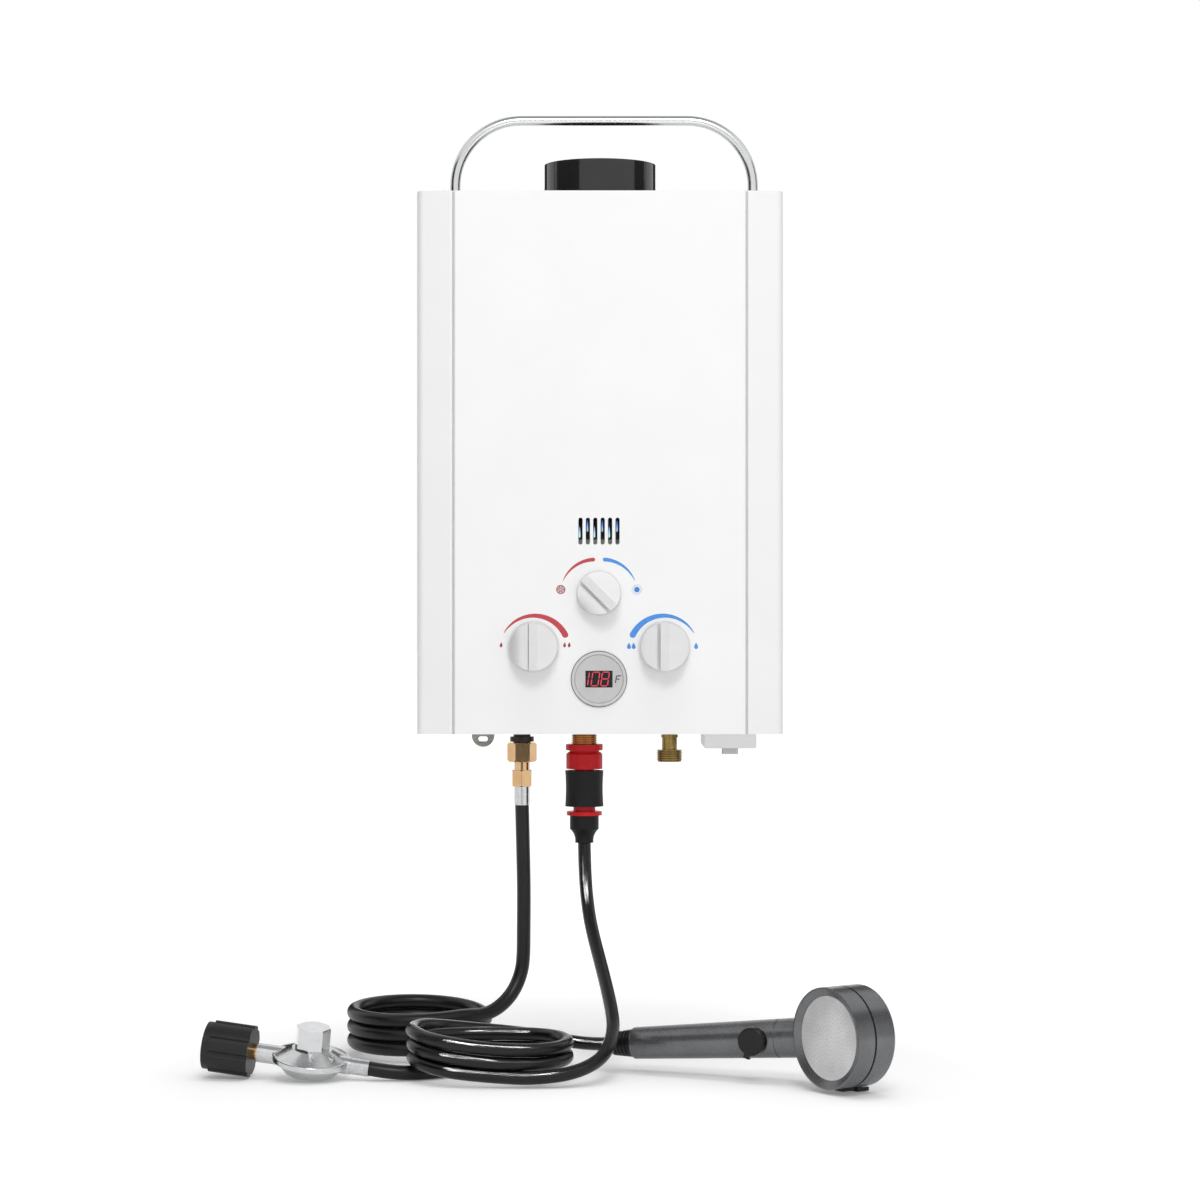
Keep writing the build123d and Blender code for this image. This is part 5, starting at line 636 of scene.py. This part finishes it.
def shade_ring(inner, outer, low, high):
    """A flat ring round the display's middle: a rectangle, two radii by two heights, carried round."""
    profile = [(inner, low), (outer, low), (outer, high), (inner, high), (inner, low)]
    return lathe(profile, (CONTROLS_X, FRONT_Y, DISPLAY_Z), (0, -1, 0), 96)


# Painted shadow in the display's two gaps: a ring between bezel and panel, one where face meets bezel.
rings = [shade_ring(21.6, 22.3, -0.05, 0.5), shade_ring(18.95, 19.25, 1.55, 1.75)]
surface("display_seals", rings, finish("gap_shadow", "#5F5F60", "#6C6C6D", 6, (0.5, 0.6), 0.8, 2, PLASTIC))


# ---------------------------------------------------------------- floor, light and sky

FLOOR_MIDDLE = (0.0, -0.25, FLOOR_Z / 1000)    # middle of the floor's least bright patch, in metres
LAMP_AIM = Vector((0, -0.06, -0.35))


def stage_plane(name, width, depth, centre, direction, material):
    """A flat stage card of that size, in metres, facing direction: one quad."""
    facing = Vector(direction).normalized()
    if abs(facing.z) > 0.99:
        side = facing.orthogonal().normalized()
    else:
        side = Vector(UPWARD).cross(facing).normalized()
    up = facing.cross(side)
    corners = [Vector(centre) + side * (width / 2 * sx) + up * (depth / 2 * sy)
               for sx, sy in ((-1, -1), (1, -1), (1, 1), (-1, 1))]
    mesh = bpy.data.meshes.new(name)
    mesh.from_pydata([tuple(c) for c in corners], [], [(0, 1, 2, 3)])
    mesh.materials.append(material)
    card = bpy.data.objects.new(name, mesh)
    bpy.context.scene.collection.objects.link(card)
    return card


def seen_rays(tree):
    """1 for a camera, glossy or transmission ray, and 0 for the rays that light the object."""
    rays = add(tree, "LightPath").outputs
    seen = add(tree, "Math", {0: rays["Is Camera Ray"], 1: rays["Is Glossy Ray"]},
               operation="MAXIMUM").outputs[0]
    return add(tree, "Math", {0: seen, 1: rays["Is Transmission Ray"]}, operation="MAXIMUM").outputs[0]


floor_paint, tree = bare_material("studio_floor")
matt = add(tree, "BsdfDiffuse", {"Color": (0.9, 0.9, 0.9, 1.0)})
pale = add(tree, "BsdfDiffuse", {"Color": (0.75, 0.75, 0.75, 1.0)})
# The floor's own white makes up for the lamps' fall-off: little of it under the object, where shadows lie.
away = add(tree, "VectorMath", {0: add(tree, "TexCoord").outputs["Object"], 1: FLOOR_MIDDLE},
           operation="DISTANCE").outputs["Value"]
lift = add(tree, "MapRange", {"Value": away, "From Min": 0.3, "From Max": 0.75, "To Min": 0.15,
                              "To Max": 0.5}).outputs[0]
white = add(tree, "Emission", {"Color": WHITE, "Strength": lift})
bright = add(tree, "AddShader", {0: matt.outputs[0], 1: white.outputs[0]})
mix = add(tree, "MixShader", {0: seen_rays(tree), 1: pale.outputs[0], 2: bright.outputs[0]})
add(tree, "OutputMaterial", {"Surface": mix.outputs[0]})
stage_plane("studio_floor", 30.0, 30.0, (0.0, 0.0, FLOOR_Z / 1000), (0, 0, 1), floor_paint)

# Cards that reflections see and the camera doesn't, each a darker line in polished metal: name, width,
# height, middle and grey. The left and right ones also take some of the soft light off the object's sides.
CARDS = (("card_behind_camera", 2.2, 0.7, (0.0, -3.4, -0.65), 0.03),
         ("card_left", 2.2, 1.5, (-1.9, -0.7, 0.35), 0.05),
         ("card_right", 1.0, 2.0, (2.0, -0.1, 0.1), 0.05),
         ("card_behind_left", 1.0, 2.2, (-0.93, 2.0, 0.2), 0.03),
         ("card_behind_right", 1.0, 2.2, (0.93, 2.0, 0.2), 0.03),
         ("card_above", 2.8, 2.2, (0.0, -0.2, 2.0), 0.4))
for name, width, depth, centre, grey in CARDS:
    board, tree = bare_material(name)
    shine = add(tree, "Emission", {"Color": (grey, grey, grey, 1.0)})
    add(tree, "OutputMaterial", {"Surface": shine.outputs[0]})
    facing = (0, 0, -1) if name == "card_above" else Vector((0, -0.1, centre[2])) - Vector(centre)
    card = stage_plane(name, width, depth, centre, facing, board)
    card.visible_camera = card.visible_shadow = card.visible_transmission = False
    card.visible_diffuse = name in ("card_left", "card_right")

world = bpy.data.worlds.new("studio")
bpy.context.scene.world = world
world.use_nodes = True
tree = world.node_tree
tree.nodes.clear()
ambient = add(tree, "Background", {"Color": WHITE, "Strength": 0.65})
backdrop = add(tree, "Background", {"Color": WHITE, "Strength": 1.0})
sky = add(tree, "MixShader", {0: seen_rays(tree), 1: ambient.outputs[0], 2: backdrop.outputs[0]})
add(tree, "OutputWorld", {"Surface": sky.outputs[0]})

# The lamps: name, place, side of the square and watts.
LAMPS = (("key", (0.1, -2.2, 1.35), 0.8, 19.0),
         ("fill", (0.3, -2.7, -0.5), 1.2, 11.0),
         ("top", (0.2, -0.4, 1.8), 1.2, 12.0),
         ("spark", (-0.7, -1.6, 1.4), 0.7, 250.0))
lights = {}
for name, place, size, watts in LAMPS:
    lamp = bpy.data.lights.new(name, "AREA")
    lamp.size = size
    lamp.energy = watts
    light = lights[name] = bpy.data.objects.new(name, lamp)
    bpy.context.scene.collection.objects.link(light)
    light.location = place
    light.rotation_euler = (LAMP_AIM - Vector(place)).to_track_quat("-Z", "Y").to_euler()
lights["top"].visible_glossy = lights["fill"].visible_glossy = False
# The spark is a highlight on the glossy shower hose and nothing else.
lights["spark"].visible_diffuse = False
sparkling = bpy.data.collections.new("sparkling")
sparkling.objects.link(shower_hose)
lights["spark"].light_linking.receiver_collection = sparkling

bpy.context.scene.view_settings.view_transform = "Standard"
